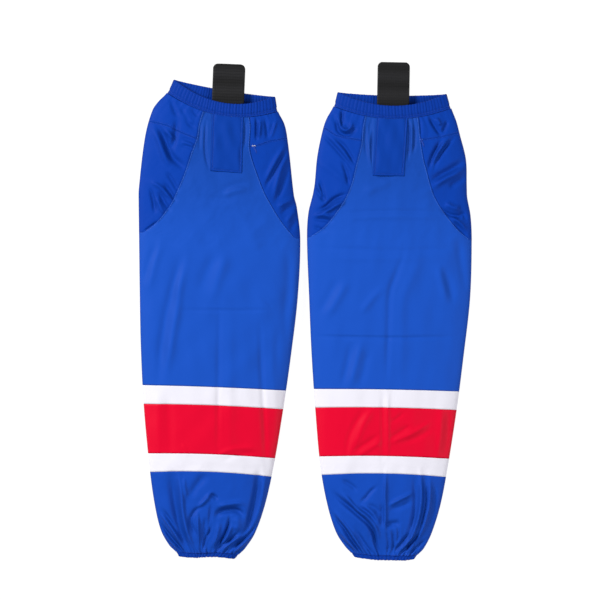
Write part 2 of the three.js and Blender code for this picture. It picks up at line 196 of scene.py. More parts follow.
RIGHT = {
    "name": "right",
    "sides": {-1: "inner", 1: "outer"},
    "fold": 356.0,
    "stretch": 1.0028,
    "tilt": 0.0,
    "front_dip": 21,
    "back_dip": 3.5,
    "hem": [(-1, 3.4), (-0.6, 1.4), (-0.3, 0), (0.7, 0), (1, 2.2)],
    "reach": 67.5,
    "lean": (-1.5, -6.0),
    "patch": (-31, 23, 613),
    "strap": 1.5,
    "outline": [
        (0, -47, 49), (8, -53.2, 54.5), (18, -62, 63), (45, -78.2, 75.5), (90, -92.9, 88.5),
        (150, -104.6, 99), (240, -114.2, 111.5), (330, -121.8, 121.5), (420, -127.2, 130), (510, -132, 131),
        (550, -130.6, 128.5), (580, -124, 122.6), (597, -121.3, 121.6), (640, -118, 119.5),
        (680, -110.6, 109), (700, -104.6, 103.4), (721, -93.6, 95), (744, -87.5, 87.5),
    ],
    "seams": {
        -1: [(-127, 514), (-105, 530), (-85, 555), (-71, 578), (-62, 602), (-56, 629), (-48, 666),
             (-43, 710)],
        1: [(127, 514), (111, 526), (94.5, 544), (78, 566), (65, 592), (56.5, 621), (50, 645), (41, 710)],
    },
    "yokes": {-1: [(-105, 687), (-87, 675), (-51, 669)], 1: [(104, 683), (76, 676), (46, 671)]},
    "folds": [
        # the yokes, beside the patch
        (-2, 3, 4, [(-96, 713), (-88, 695), (-77, 683)]),
        (-1.8, 3, 4, [(-79, 705), (-70, 689), (-56, 683)]),
        (-1.6, 3, 3, [(-109, 705), (-101, 694)]),
        (-1.5, 2.5, 3, [(-35, 699), (-33, 653)]),
        (-1.2, 2.4, 2.6, [(44, 706), (47, 677)]),
        (-1.4, 3, 3, [(-26, 615), (-10, 611), (6, 612)]),
        (-3, 2.6, 3, [(-114, 681), (-96, 663), (-81, 647), (-68, 632), (-58, 617)]),
        (2, 3.5, 4, [(-107, 682), (-84, 659), (-63, 632), (-56, 621)]),
        (1.8, 6, 6, [(-122, 636), (-95, 620), (-72, 598)]),
        (-2.4, 1.8, 1.8, [(-126, 356), (-70, 355), (-15, 355), (60, 357), (112, 359)]),
        # the gussets, and along the patch
        (-4.3, 2.6, 2.6, [(-79, 719), (-80, 704), (-79, 688)]),
        (-3.8, 3, 3, [(-88, 702), (-86, 685), (-75, 677), (-64, 680), (-56, 692)]),
        (3.6, 2.6, 2.6, [(-84, 704), (-82, 690), (-74, 684), (-66, 689), (-63, 700)]),
        (-3.8, 3, 3, [(-91, 672), (-75, 658), (-63, 639), (-57, 626)]),
        (-3.4, 3, 3, [(-79, 637), (-71, 616), (-66, 594)]),
        (-4.3, 3, 3, [(-125, 593), (-113, 582), (-105, 569)]),
        (-4.3, 3.2, 3.2, [(-119, 556), (-105, 561), (-92, 573), (-81, 579), (-67, 583)]),
        (4.5, 3.4, 3.4, [(-114, 550), (-98, 557), (-84, 566), (-71, 571)]),
        (-3.8, 2.8, 2.8, [(-114, 606), (-109, 587), (-104, 569)]),
        (3.9, 3, 3, [(-120, 603), (-113, 588), (-108, 576)]),
        (-3.4, 2.6, 2.6, [(-122, 542), (-105, 541), (-90, 538)]),
        (3.6, 2.6, 2.6, [(-123, 548), (-107, 549), (-92, 546)]),
        (-2.9, 2.6, 2.6, [(-121, 531), (-111, 526), (-101, 522)]),
        (-2, 2.6, 2.8, [(-24, 705), (-29, 678), (-30, 652), (-28, 628), (-18, 616), (-4, 611)]),
        (1.6, 2.4, 2.4, [(-32, 697), (-35, 668), (-35, 643), (-30, 624)]),
        (-1.4, 2.4, 2.4, [(-40, 697), (-42, 668), (-40, 643)]),
        (-2, 2, 2, [(26, 706), (28, 678), (26, 634)]),
        (-1.6, 2.4, 2.4, [(35, 698), (37, 676), (35, 647)]),
        (1.6, 2.4, 2.4, [(31, 703), (32, 676), (31, 647)]),
        (-4.2, 3, 3, [(59, 708), (69, 692), (79, 677)]),
        (-3.4, 3, 3, [(89, 704), (85, 693), (79, 680)]),
        (3.4, 3, 3, [(70, 707), (78, 694)]),
        (-3.8, 3.2, 3.2, [(79, 672), (66, 647), (59, 622)]),
        (-3.2, 3, 3, [(103, 679), (87, 662), (74, 643), (67, 622)]),
        (4.2, 3.4, 3.4, [(90, 675), (76, 654), (65, 633)]),
        (-4.2, 5, 5, [(120, 641), (98, 627), (81, 617), (63, 605)]),
        (4.2, 4.5, 4.5, [(120, 629), (100, 617), (81, 607), (65, 594)]),
        (-3.4, 4.5, 4.5, [(121, 614), (105, 605), (92, 595)]),
        (-4.2, 3.4, 3.4, [(78, 564), (94, 553), (108, 551), (116, 554), (123, 541)]),
        (4.2, 4.5, 4.5, [(86, 571), (101, 564), (113, 565)]),
        (-3.4, 3.4, 3.4, [(99, 541), (112, 530), (125, 517)]),
        (3.1, 3, 3, [(95, 550), (110, 541), (123, 529)]),
        # the main panel and the stripes
        (-0.9, 2.2, 2.2, [(-75, 553), (-1, 557), (80, 557)]),
        (0.8, 4, 4, [(-72, 544), (-0, 548), (81, 548)]),
        (1.5, 7, 7, [(-44, 584), (-23, 594), (0, 604)]),
        (-0.9, 4, 4, [(-115, 497), (-60, 495), (17, 494), (106, 499)]),
        (0.6, 4, 4, [(-114, 482), (-60, 480), (17, 482), (100, 485)]),
        (-2, 5, 4, [(25, 512), (20, 483), (10, 454), (1, 425), (0, 364), (-2, 276)]),
        (1.7, 9, 8, [(46, 508), (42, 473), (31, 444), (22, 415), (21, 363), (20, 275)]),
        (2.1, 7, 7, [(-64, 449), (-81, 417), (-100, 384)]),
        (-1.5, 7, 7, [(-82, 449), (-97, 419), (-111, 390)]),
        (1.9, 6, 6, [(-10, 436), (-26, 418), (-46, 392)]),
        (2.4, 6, 6, [(-42, 350), (-51, 312), (-60, 273)]),
        (-2, 6, 6, [(-58, 350), (-65, 312), (-73, 273)]),
        (-1.7, 6, 6, [(-31, 339), (-38, 302), (-46, 273)]),
        (-2.2, 7, 7, [(108, 516), (116, 468), (124, 427)]),
        (-1.7, 6, 6, [(85, 474), (96, 441), (104, 410)]),
        (1.9, 6, 6, [(76, 474), (84, 441), (93, 410)]),
        (-1.5, 5, 5, [(-33, 245), (-50, 219), (-61, 190), (-63, 155)]),
        (1.5, 5, 5, [(-20, 245), (-36, 220), (-46, 194), (-54, 178)]),
        (-1.5, 3.4, 3.4, [(-8, 275), (-7, 236), (-6, 195), (-6, 160)]),
        (1.5, 2.8, 2.8, [(1, 275), (1, 237), (2, 195), (2, 160)]),
        (-1.4, 3.4, 3.4, [(-9, 203), (-31, 188), (-56, 170)]),
        (1.4, 3, 3, [(-6, 193), (-26, 179), (-48, 165)]),
        (1.8, 3, 3, [(72, 224), (45, 207), (20, 195), (2, 187)]),
        (-1.5, 3.4, 3.4, [(40, 218), (23, 207), (4, 195)]),
        (-1.4, 3.4, 3.4, [(73, 212), (47, 197), (23, 187)]),
        (-1.2, 3, 3, [(27, 237), (16, 227), (5, 221)]),
        (-1.5, 5, 5, [(97, 246), (98, 206), (94, 161)]),
        (1.5, 5, 5, [(86, 246), (86, 206), (82, 161)]),
        # the ankle
        (-6.6, 4, 2.6, [(-87, 110), (-71, 96), (-56, 84), (-43, 73), (-30, 62), (-21, 51), (-17, 40),
                        (-14, 27), (-9, 12), (-5, 1)]),
        (4.4, 3.4, 3, [(-73, 109), (-53, 92), (-40, 79), (-27, 70), (-18, 59), (-11, 44), (-8, 32)]),
        (-2.6, 3, 3, [(-70, 128), (-54, 119), (-44, 110)]),
        (-3.1, 2.8, 2.8, [(-59, 105), (-46, 87), (-31, 78), (-21, 67), (-15, 54)]),
        (2.8, 2.6, 2.6, [(-39, 91), (-25, 81), (-15, 70), (-8, 53)]),
        (-2.3, 3.4, 3.4, [(-29, 90), (-16, 84), (-7, 72)]),
        (-2.8, 2.6, 2.6, [(-13, 120), (-24, 110), (-32, 100), (-41, 91)]),
        (-2.4, 3, 3, [(-6, 93), (-5, 73), (-5, 54)]),
        (3.5, 2.4, 2.4, [(-0, 147), (-1, 109), (-0, 77), (-0, 42)]),
        (-3.9, 5, 5, [(-1, 58), (12, 59), (25, 62)]),
        (3.3, 2.8, 2.8, [(4, 88), (21, 98), (44, 110)]),
        (-2.3, 4, 4, [(5, 81), (27, 88), (43, 98)]),
        (-3.1, 4, 4, [(45, 135), (48, 93), (44, 61), (36, 42)]),
        (4.4, 3.4, 3, [(54, 148), (57, 102), (53, 70), (45, 45), (33, 24)]),
        (-2.8, 4, 4, [(63, 135), (64, 94), (58, 61), (52, 45)]),
        (3.5, 3.4, 3, [(70, 142), (70, 94), (65, 70), (59, 49), (47, 28)]),
        (-2.4, 4, 4, [(79, 126), (78, 86), (72, 62), (65, 46)]),
        (-4.5, 2.6, 2.6, [(56, 47), (43, 30), (31, 17), (23, 7)]),
        (-4.2, 2.6, 2.6, [(40, 47), (30, 33), (19, 18), (18, 7)]),
        (2.6, 2.4, 2.4, [(48, 46), (37, 30), (24, 13)]),
        (-2.8, 2.6, 2.6, [(67, 36), (50, 20), (36, 9)]),
        (-2.4, 1.8, 1.8, [(12, 53), (14, 29), (13, 10)]),
        (-2.1, 1.8, 1.8, [(3, 47), (6, 28), (5, 10)]),
        (-2.1, 1.8, 1.8, [(20, 58), (22, 41), (19, 28)]),
        (-4.5, 3.2, 2.6, [(-89, 78), (-76, 64), (-64, 50), (-53, 33), (-39, 14), (-31, 4)]),
        (3.3, 2.8, 2.6, [(-82, 79), (-68, 61), (-55, 45), (-43, 28), (-28, 6)]),
        (-3.9, 2.6, 2.6, [(-79, 43), (-62, 26), (-44, 9)]),
        (2.8, 2.6, 2.6, [(-76, 52), (-59, 31), (-41, 11)]),
        (-3.1, 3, 2.6, [(-48, 50), (-32, 27), (-20, 11), (-14, 1)]),
        (-2.4, 2.4, 2.4, [(-64, 20), (-51, 9), (-36, 3)]),
    ],
}
SOCKS = (LEFT, RIGHT)
for sock in SOCKS:
    sock["settled"] = []


def smooth(low, high, value):
    t = np.clip((value - low) / (high - low), 0, 1)
    return t * t * (3 - 2 * t)


def along(rows, column, s):
    """Column of a table at s, on a smooth curve through the table's rows."""
    rows = np.array(rows, float)
    at, value = rows[:, 0], rows[:, column]
    lean = np.empty_like(value)
    lean[1:-1] = (value[2:] - value[:-2]) / (at[2:] - at[:-2])
    lean[0] = (value[1] - value[0]) / (at[1] - at[0])
    lean[-1] = (value[-1] - value[-2]) / (at[-1] - at[-2])
    i = np.clip(np.searchsorted(at, s, side="right") - 1, 0, len(at) - 2)
    span = at[i + 1] - at[i]
    t = np.clip((s - at[i]) / span, 0, 1)
    rise = value[i + 1] - value[i]
    bend = (lean[i] * span - rise) * (1 - t) - (lean[i + 1] * span - rise) * t
    return value[i] + rise * t + bend * t * (1 - t)


def half_width(sock, s):
    return (along(sock["outline"], 2, s) - along(sock["outline"], 1, s)) / 2


def middle(sock, s):
    return (along(sock["outline"], 2, s) + along(sock["outline"], 1, s)) / 2


def lay(sock, s, x, back=False, inset=0.0):
    """The undisturbed tube: s from the ankle hem, x from -1 to 1 across, inset below the outer face."""
    s, x, back = np.broadcast_arrays(np.asarray(s, float), np.asarray(x, float), np.asarray(back, bool))
    loft = along(LOFT, 1, s)
    side = SIDE_FOLD * loft
    bow = np.clip(1 - x * x, 0, 1)
    curl = np.clip((np.abs(x) - FLAT_BACK) / (1 - FLAT_BACK), 0, 1)
    top = side + (loft - inset - side) * bow**0.4
    bottom = side - (side - inset) * np.sqrt(1 - curl**2)
    u = middle(sock, s) + (half_width(sock, s) - inset) * x
    dip = np.where(back, sock["back_dip"], sock["front_dip"]) * smooth(600, SOCK_LENGTH, s)
    arch = STRIPE_ARCH + LOW_ARCH - LOW_ARCH * smooth(134, 164, s)
    arch = arch * smooth(50, 130, s) * (1 - smooth(200, 340, s))
    hem = np.interp(x, *np.array(sock["hem"], float).T) * (1 - smooth(0, 40, s))
    v = s * sock["stretch"] + sock["tilt"] * smooth(560, 700, s) * u + (arch - dip) * bow + hem
    return np.stack([u, v, np.where(back, bottom, top)], axis=-1)


def locate(sock, u, v):
    """The s and x at which the front of the tube passes over a point."""
    s = np.asarray(v, float) / sock["stretch"]
    for _ in range(12):
        x = np.clip((u - middle(sock, s)) / half_width(sock, s), -1, 1)
        s = s + (v - lay(sock, s, x)[..., 1]) / sock["stretch"]
    return s, x


def rounded(path, each=6):
    """A smooth line through a few points."""
    p = np.array(path, float)
    p = np.concatenate([[2 * p[0] - p[1]], p, [2 * p[-1] - p[-2]]])
    line = []
    for a, b, c, d in zip(p, p[1:], p[2:], p[3:]):
        t = np.linspace(0, 1, each, endpoint=False)[:, None]
        square = (a - 2.5 * b + 2 * c - d / 2) * t**2
        cube = (1.5 * (b - c) + (d - a) / 2) * t**3
        line.append(b + (c - a) / 2 * t + square + cube)
    return np.concatenate([*line, p[-2:-1]])


def from_line(u, v, line):
    """Distance from a line, and the share of its length at the nearest point."""
    steps = np.linalg.norm(np.diff(line, axis=0), axis=1)
    at = np.concatenate([[0], np.cumsum(steps)]) / steps.sum()
    best, share = np.full(u.shape, 1e9), np.zeros(u.shape)
    for a, b, start, end in zip(line, line[1:], at, at[1:]):
        d = b - a
        t = np.clip(((u - a[0]) * d[0] + (v - a[1]) * d[1]) / (d @ d), 0, 1)
        away = np.hypot(u - a[0] - t * d[0], v - a[1] - t * d[1])
        nearer = away < best
        best = np.where(nearer, away, best)
        share = np.where(nearer, start + t * (end - start), share)
    return best, share


def creased(sock, u, v):
    """How far the folds lift or sink the front layer at each point."""
    lift = np.zeros(u.shape)
    for depth, wide, wide_end, path in sock["folds"]:
        line = rounded(path)
        reach = 3 * max(wide, wide_end)
        low, high = line.min(axis=0) - reach, line.max(axis=0) + reach
        near = (u > low[0]) & (u < high[0]) & (v > low[1]) & (v < high[1])
        away, share = from_line(u[near], v[near], line)
        width = wide + (wide_end - wide) * share
        fade = smooth(-0.05, 0.3, share) * smooth(-0.05, 0.3, 1 - share)
        lift[near] += depth * fade * np.exp(-((away / width) ** 2))
    return lift


def ribs(sock, s, x, count):
    """Rounded ribs with sharp valleys, from 0 to 1, evenly spaced but never quite alike."""
    seed = 1.0 if sock["name"] == "left" else 4.2
    wander = 0.8 * np.sin(3.1 * x + seed) + 0.5 * np.sin(7.7 * x + 2 * seed) + 0.3 * np.sin(0.12 * s + 5 * x)
    phase = count * (x + 1) / 2 + 0.35 * wander
    uneven = 0.8 + 0.2 * np.sin(count * 1.3 * x + 3 * seed)
    return uneven * np.abs(np.sin(math.pi * phase)) ** 0.7


# For each hem, the direction away from it, then for each size of gather its number, its run and its depth.
GATHERS = (
    (BAND_LOW, -1, ((36, 7, 0.7), (17, 17, 1.0), (8, 34, 1.1))),
    (CUFF_HEIGHT, 1, ((17, 10, 2.0), (9, 26, 2.6), (4, 60, 1.8))),
)


def under_patch(sock, s, u, sides, foot):
    """1 where the patch holds the cloth flat, 0 away from it; sides and foot say where that changes."""
    left, right, low = sock["patch"]
    across = smooth(left - sides[0], left - sides[1], u) * (1 - smooth(right + sides[1], right + sides[0], u))
    return across * smooth(low - foot[0], low - foot[1], s)


def gathered(sock, s, x, u):
    """The small folds that run out of the two gathered hems."""
    lift = np.zeros(np.broadcast_shapes(s.shape, x.shape))
    for hem, outward, sizes in GATHERS:
        reach = np.maximum((s - hem) * outward, 0)
        for count, run, depth in sizes:
            lift = lift + depth * np.exp(-reach / run) * (ribs(sock, s, x, count) - 0.6)
    return lift * (1 - under_patch(sock, s, u, (7, 1), (10, -6)))


def uneven(sock, u, v):
    """Slow, shallow waves that cloth keeps after it was packed."""
    draw = np.random.default_rng(11 if sock["name"] == "left" else 23)
    waves = np.zeros(u.shape)
    for _ in range(22):
        heading, length, start = draw.uniform(0, math.pi), draw.uniform(22, 70), draw.uniform(0, 2 * math.pi)
        along_wave = u * math.cos(heading) + 0.6 * v * math.sin(heading)
        waves += np.sin(2 * math.pi * along_wave / length + start)
    return waves / math.sqrt(11)


def from_seams(sock, u, v):
    """Distance from the nearer gusset seam."""
    return np.minimum(*[from_line(u, v, rounded(sock["seams"][side]))[0] for side in (-1, 1)])


def sampled(field, s, x):
    """A field on a regular grid of s and x, read between its points, and 0 outside it."""
    at_s, at_x, values = field
    row = (s - at_s[0]) / (at_s[-1] - at_s[0]) * (len(at_s) - 1)
    column = (x - at_x[0]) / (at_x[-1] - at_x[0]) * (len(at_x) - 1)
    inside = (row >= 0) & (row <= len(at_s) - 1)
    r = np.clip(row.astype(int), 0, len(at_s) - 2)
    c = np.clip(column.astype(int), 0, len(at_x) - 2)
    p, q = row - r, column - c
    low = values[r, c] * (1 - q) + values[r, c + 1] * q
    high = values[r + 1, c] * (1 - q) + values[r + 1, c + 1] * q
    return np.where(inside, low * (1 - p) + high * p, 0)


def cloth(sock, s, x, back=False, inset=0.0, edge=0.0):
    """The tube with its folds and gathers; edge is how far the cloth stands proud beside a gusset seam."""
    points = lay(sock, s, x, back, inset)
    s, x, back = np.broadcast_arrays(np.asarray(s, float), np.asarray(x, float), np.asarray(back, bool))
    u, v = points[..., 0], points[..., 1]
    small = gathered(sock, s, x, u)
    lift = creased(sock, u, v) + 0.3 * uneven(sock, u, v)
    for field in sock["settled"]:
        lift = lift + sampled(field, s, x)
    lift = lift * (1 - under_patch(sock, s, u, (1, -2), (0, -3))) + small
    if edge:
        lift += edge * np.exp(-((from_seams(sock, u, v) / 1.7) ** 2)) * (s > GUSSET_TIP + 4)
    closing_seam = np.exp(-((x * half_width(sock, s) / 1.1) ** 2))
    behind = 0.8 * np.maximum(small, 0) + 0.3 * np.maximum(creased(sock, -u, v), 0)
    behind += 0.45 * np.maximum(uneven(sock, -u, v), 0) + 0.7 * closing_seam
    lift = np.where(back, behind, lift) * (1 - np.abs(x) ** 12)
    points[..., 2] = np.maximum(points[..., 2] + lift, inset)
    return points


def to_frame(sock, points):
    """Millimetres in a sock's own frame, to metres in the row frame."""
    hinge = next(joint for joint in frame["joints"] if joint["name"] == f"{sock['name']}_fold")
    across = np.array(hinge["axis"], float)
    leg = np.cross([0, 0, 1], across)
    origin = np.array([*hinge["pos_m"][:2], 0]) - leg * sock["fold"] * MM
    up = points[..., 2:3] * np.array([0, 0, 1])
    return origin + MM * (points[..., 0:1] * across + points[..., 1:2] * leg + up)


def grid_faces(rows, columns, closed=False, first=0):
    spans = columns if closed else columns - 1
    r, c = np.meshgrid(np.arange(rows - 1), np.arange(spans), indexing="ij")
    a = first + r * columns + c
    b = first + r * columns + (c + 1) % columns
    return np.stack([a, b, b + columns, a + columns], axis=-1).reshape(-1, 4)


def make_piece(name, points, faces, material, weave=None):
    """A smooth mesh at its place in the row frame, with the cloth's own run in the UV map named weave."""
    mesh = bpy.data.meshes.new(name)
    mesh.from_pydata(points.reshape(-1, 3).tolist(), [], faces.tolist())
    mesh.polygons.foreach_set("use_smooth", np.ones(len(mesh.polygons), bool))
    if weave is not None:
        corners = np.empty(len(mesh.loops), int)
        mesh.loops.foreach_get("vertex_index", corners)
        mesh.uv_layers.new(name="weave").data.foreach_set("uv", weave.reshape(-1, 2)[corners].ravel())
    mesh.materials.append(material)
    piece = bpy.data.objects.new(name, mesh)
    bpy.context.scene.collection.objects.link(piece)
    return piece


def thicken(piece, thickness=KNIT_THICK):
    wall = piece.modifiers.new("wall", "SOLIDIFY")
    wall.thickness = thickness * MM
    wall.offset = -1
    return piece


def run_of(points):
    """Where each point of a grid lies on the flat cloth, in metres, across and along."""
    across = np.linalg.norm(np.diff(points, axis=1), axis=2)
    across = np.concatenate([np.zeros((len(points), 1)), np.cumsum(across, axis=1)], axis=1)
    across -= across[:, points.shape[1] // 2 : points.shape[1] // 2 + 1]
    return np.stack([across, np.broadcast_to(points[:, :1, 1], across.shape)], axis=-1)


def spread(count, low=-1.0, high=1.0, ends=0.8):
    """Places from low to high that draw closer towards both ends."""
    t = np.linspace(-1, 1, count)
    return low + (high - low) * ((1 - ends) * t + ends * np.sin(math.pi * t / 2) + 1) / 2


def levels(*stops):
    """Rows along the sock: (from, to, step) for each stretch, without repeats."""
    parts = [np.linspace(a, b, max(2, round((b - a) / step) + 1))[:-1] for a, b, step in stops]
    return np.concatenate([*parts, [stops[-1][1]]])


SIM_SCALE = 0.01  # a millimetre of cloth, in the solver's metres: it works best at a large size
SIM_FRAMES = 20
SETTLE_LIMIT = 2.5


def settle(sock, s, x, fullness):
    """Lets the front layer of one stretch settle by cloth simulation, pinned all round where it is sewn or
    folded, from a flat cut that is fuller than the space it lies in; keeps how far each point moved."""
    start = cloth(sock, s[:, None], x[None, :])
    under = start - [0, 0, 1.0]
    steps = np.linalg.norm(np.diff(start, axis=1), axis=2)
    wide = fullness(s[:, None], (x[None, 1:] + x[None, :-1]) / 2)
    run = np.concatenate([np.zeros((len(s), 1)), np.cumsum(steps * wide, axis=1)], axis=1)
    run -= run[:, len(x) // 2 : len(x) // 2 + 1]
    flat_cut = np.stack([run, np.broadcast_to(1.01 * s[:, None], run.shape), 0 * run], axis=-1)
    faces = grid_faces(len(s), len(x)).tolist()
    layers = []
    for label, points in (("front_layer", start), ("layer_below", under)):
        mesh = bpy.data.meshes.new(label)
        mesh.from_pydata((points * SIM_SCALE).reshape(-1, 3).tolist(), [], faces)
        layers.append(bpy.data.objects.new(label, mesh))
        bpy.context.scene.collection.objects.link(layers[-1])
    front, below = layers
    front.shape_key_add(name="Basis")
    flat = front.shape_key_add(name="flat_cut")
    flat.data.foreach_set("co", (flat_cut * SIM_SCALE).ravel())
    flat.value = 0
    held = np.zeros(run.shape, bool)
    held[[0, -1]] = True
    held[:, [0, -1]] = True
    front.vertex_groups.new(name="sewn").add(np.flatnonzero(held.ravel()).tolist(), 1.0, "REPLACE")
    below.modifiers.new("stop", "COLLISION")
    below.collision.thickness_outer = 0.002
    drape = front.modifiers.new("drape", "CLOTH")
    knit_feel = {"quality": 4, "mass": 0.3, "tension_stiffness": 15, "compression_stiffness": 15,
                 "shear_stiffness": 5, "bending_stiffness": 20, "air_damping": 3}
    for trait, value in knit_feel.items():
        setattr(drape.settings, trait, value)
    drape.settings.vertex_group_mass = "sewn"
    drape.settings.rest_shape_key = flat
    drape.settings.effector_weights.gravity = 0.15
    drape.collision_settings.distance_min = 0.003
    drape.point_cache.frame_start = 1
    drape.point_cache.frame_end = SIM_FRAMES
    for step in range(1, SIM_FRAMES + 1):
        bpy.context.scene.frame_set(step)
    done = front.evaluated_get(bpy.context.evaluated_depsgraph_get())
    moved = np.empty(3 * len(front.data.vertices))
    done.data.vertices.foreach_get("co", moved)
    rise = moved.reshape(start.shape)[..., 2] / SIM_SCALE - start[..., 2]
    for layer in layers:
        bpy.data.objects.remove(layer)
    bpy.context.scene.frame_set(1)
    sock["settled"].append((s, x, np.clip(rise, -SETTLE_LIMIT, SETTLE_LIMIT)))


def ankle_fullness(s, x):
    return 1 + 0.6 * (1 - smooth(0, 110, s)) + 0 * x


def thigh_fullness(s, x):
    u = middle(sock, s) + half_width(sock, s) * x
    return 1 + (0.02 + 0.35 * smooth(590, BAND_LOW, s)) * (1 - under_patch(sock, s, u, (4, 0), (6, 0)))


for sock in SOCKS:
    settle(sock, np.linspace(CUFF_HEIGHT, 150, 50), np.linspace(-1, 1, 71), ankle_fullness)
    settle(sock, np.linspace(490, BAND_LOW, 76), np.linspace(-1, 1, 81), thigh_fullness)


def add(nodes, kind, given=None, **traits):
    """A node with its traits set, then the constants on the inputs that given names."""
    node = nodes.new(kind)
    for trait, value in traits.items():
        setattr(node, trait, value)
    for label, value in (given or {}).items():
        node.inputs[label].default_value = value
    return node


def surface(name, given):
    """A material, and its Principled shader with the constants on the inputs that given names."""
    material = bpy.data.materials.new(name)
    material.use_nodes = True
    shader = material.node_tree.nodes["Principled BSDF"]
    for label, value in given.items():
        shader.inputs[label].default_value = value
    return material, shader


def knit_group():
    """Wales and courses of a fine knit on the weave map: Height for the bump, Shade for the colour, Nap for
    roughness. Shade is a random mottle with painted shade between the loops, and painted shade that darkens
    the colour between two places along the leg, towards the thigh hem, as strong as asked."""
    group = bpy.data.node_groups.new("knit_face", "ShaderNodeTree")
    sizes = {"Wale": 1.3, "Course": 1.0, "Mottle": 0.05, "Hem Shade": 0, "Hem Shade From": 0.10, "Hem Shade To": 0.27}
    for label, value in sizes.items():
        group.interface.new_socket(label, in_out="INPUT", socket_type="NodeSocketFloat").default_value = value
    for label in ("Height", "Shade", "Nap"):
        group.interface.new_socket(label, in_out="OUTPUT", socket_type="NodeSocketFloat")
    nodes, links = group.nodes, group.links
    given, made = nodes.new("NodeGroupInput"), nodes.new("NodeGroupOutput")
    weave = add(nodes, "ShaderNodeUVMap", uv_map="weave")
    split = nodes.new("ShaderNodeSeparateXYZ")
    links.new(weave.outputs[0], split.inputs[0])

    def calc(operation, *values):
        node = add(nodes, "ShaderNodeMath", operation=operation)
        for socket, value in zip(node.inputs, values):
            if isinstance(value, (int, float)):
                socket.default_value = value
            else:
                links.new(value, socket)
        return node.outputs[0]

    x = calc("DIVIDE", calc("MULTIPLY", split.outputs[0], 1000), given.outputs["Wale"])
    y = calc("DIVIDE", calc("MULTIPLY", split.outputs[1], 1000), given.outputs["Course"])
    vee = calc("PINGPONG", x, 0.5)
    wale = calc("SINE", calc("MULTIPLY", calc("FRACT", x), math.pi))
    course = calc("SINE", calc("MULTIPLY", calc("ADD", y, vee), 2 * math.pi))
    height = calc("ADD", calc("MULTIPLY", wale, 0.6), calc("MULTIPLY", course, 0.2))
    links.new(height, made.inputs["Height"])
    place = nodes.new("ShaderNodeTexCoord")
    cloud = add(nodes, "ShaderNodeTexNoise", {"Scale": 28, "Detail": 3})
    links.new(place.outputs["Object"], cloud.inputs["Vector"])
    lint = add(nodes, "ShaderNodeTexNoise", {"Scale": 900})
    links.new(place.outputs["Object"], lint.inputs["Vector"])
    mottle = calc("MULTIPLY_ADD", calc("SUBTRACT", cloud.outputs[0], 0.5), given.outputs["Mottle"], 1)
    # Painted shade: the colour is a little darker in the valleys between the loops, on top of a random
    # mottle.
    shade = calc("MULTIPLY", mottle, calc("MULTIPLY_ADD", height, 0.1, 0.95))
    # Painted shade: the colour darkens between two places along the leg, towards the thigh hem.
    towards_hem = add(nodes, "ShaderNodeMapRange", interpolation_type="SMOOTHSTEP")
    links.new(split.outputs[1], towards_hem.inputs["Value"])
    links.new(given.outputs["Hem Shade From"], towards_hem.inputs["From Min"])
    links.new(given.outputs["Hem Shade To"], towards_hem.inputs["From Max"])
    painted_hem_shade = calc("MULTIPLY", towards_hem.outputs[0], given.outputs["Hem Shade"])
    links.new(calc("MULTIPLY", shade, calc("SUBTRACT", 1, painted_hem_shade)), made.inputs["Shade"])
    links.new(calc("MULTIPLY_ADD", lint.outputs[0], 0.12, -0.06), made.inputs["Nap"])
    return group


KNIT_FACE = knit_group()


def linear(red, green, blue):
    """Screen values from 0 to 255, as the light that they stand for."""
    screen = np.array([red, green, blue]) / 255
    return [float(c) for c in np.where(screen <= 0.04045, screen / 12.92, ((screen + 0.055) / 1.055) ** 2.4)]


def knit(name, colour, roughness=0.62, sheen=0.06, wale=1.3, course=1.0, depth=0.12, gloss=0.18, slope_shade=0.9,
         hem_shade=0.0):
    """Polyester knit: dyed colour with painted shade where the cloth turns away from the view, and painted
    shade towards the thigh hem if asked; a soft sheen, and its loops' relief.
    """
    dyed = linear(*colour)
    material, shader = surface(name, {
        "Specular IOR Level": gloss, "Sheen Weight": sheen, "Sheen Roughness": 0.4,
        "Sheen Tint": (*dyed, 1), "Specular Tint": (*[0.3 + 0.7 * c for c in dyed], 1),
    })
    nodes, links = material.node_tree.nodes, material.node_tree.links
    face = add(nodes, "ShaderNodeGroup", node_tree=KNIT_FACE)
    # The last input sets how much painted shade darkens the knit towards the thigh hem.
    for label, value in (("Wale", wale), ("Course", course), ("Hem Shade", hem_shade)):
        face.inputs[label].default_value = value
    # The dye, times the mottle and the painted shade that the knit face gives.
    dye_and_shade = add(nodes, "ShaderNodeMix", {"Factor": 1, "A": (*dyed, 1)}, data_type="RGBA", blend_type="MULTIPLY")
    grey = nodes.new("ShaderNodeCombineColor")
    for channel in grey.inputs[:3]:
        links.new(face.outputs["Shade"], channel)
    links.new(grey.outputs[0], dye_and_shade.inputs["B"])
    # Painted shade: where the cloth turns away from the view, the base colour blends towards a quarter of the
    # dye.
    lean = add(nodes, "ShaderNodeLayerWeight", {"Blend": 0.5})
    weight = add(nodes, "ShaderNodeMath", {1: slope_shade}, operation="MULTIPLY")
    links.new(lean.outputs["Facing"], weight.inputs[0])
    turned = add(nodes, "ShaderNodeMix", {"B": (*[0.25 * c for c in dyed], 1)}, data_type="RGBA")
    links.new(weight.outputs[0], turned.inputs["Factor"])
    links.new(dye_and_shade.outputs["Result"], turned.inputs["A"])
    links.new(turned.outputs["Result"], shader.inputs["Base Color"])
    rough = add(nodes, "ShaderNodeMath", {1: roughness})
    links.new(face.outputs["Nap"], rough.inputs[0])
    links.new(rough.outputs[0], shader.inputs["Roughness"])
    bump = add(nodes, "ShaderNodeBump", {"Distance": depth * MM, "Strength": 0.5})
    links.new(face.outputs["Height"], bump.inputs["Height"])
    links.new(bump.outputs[0], shader.inputs["Normal"])
    return material


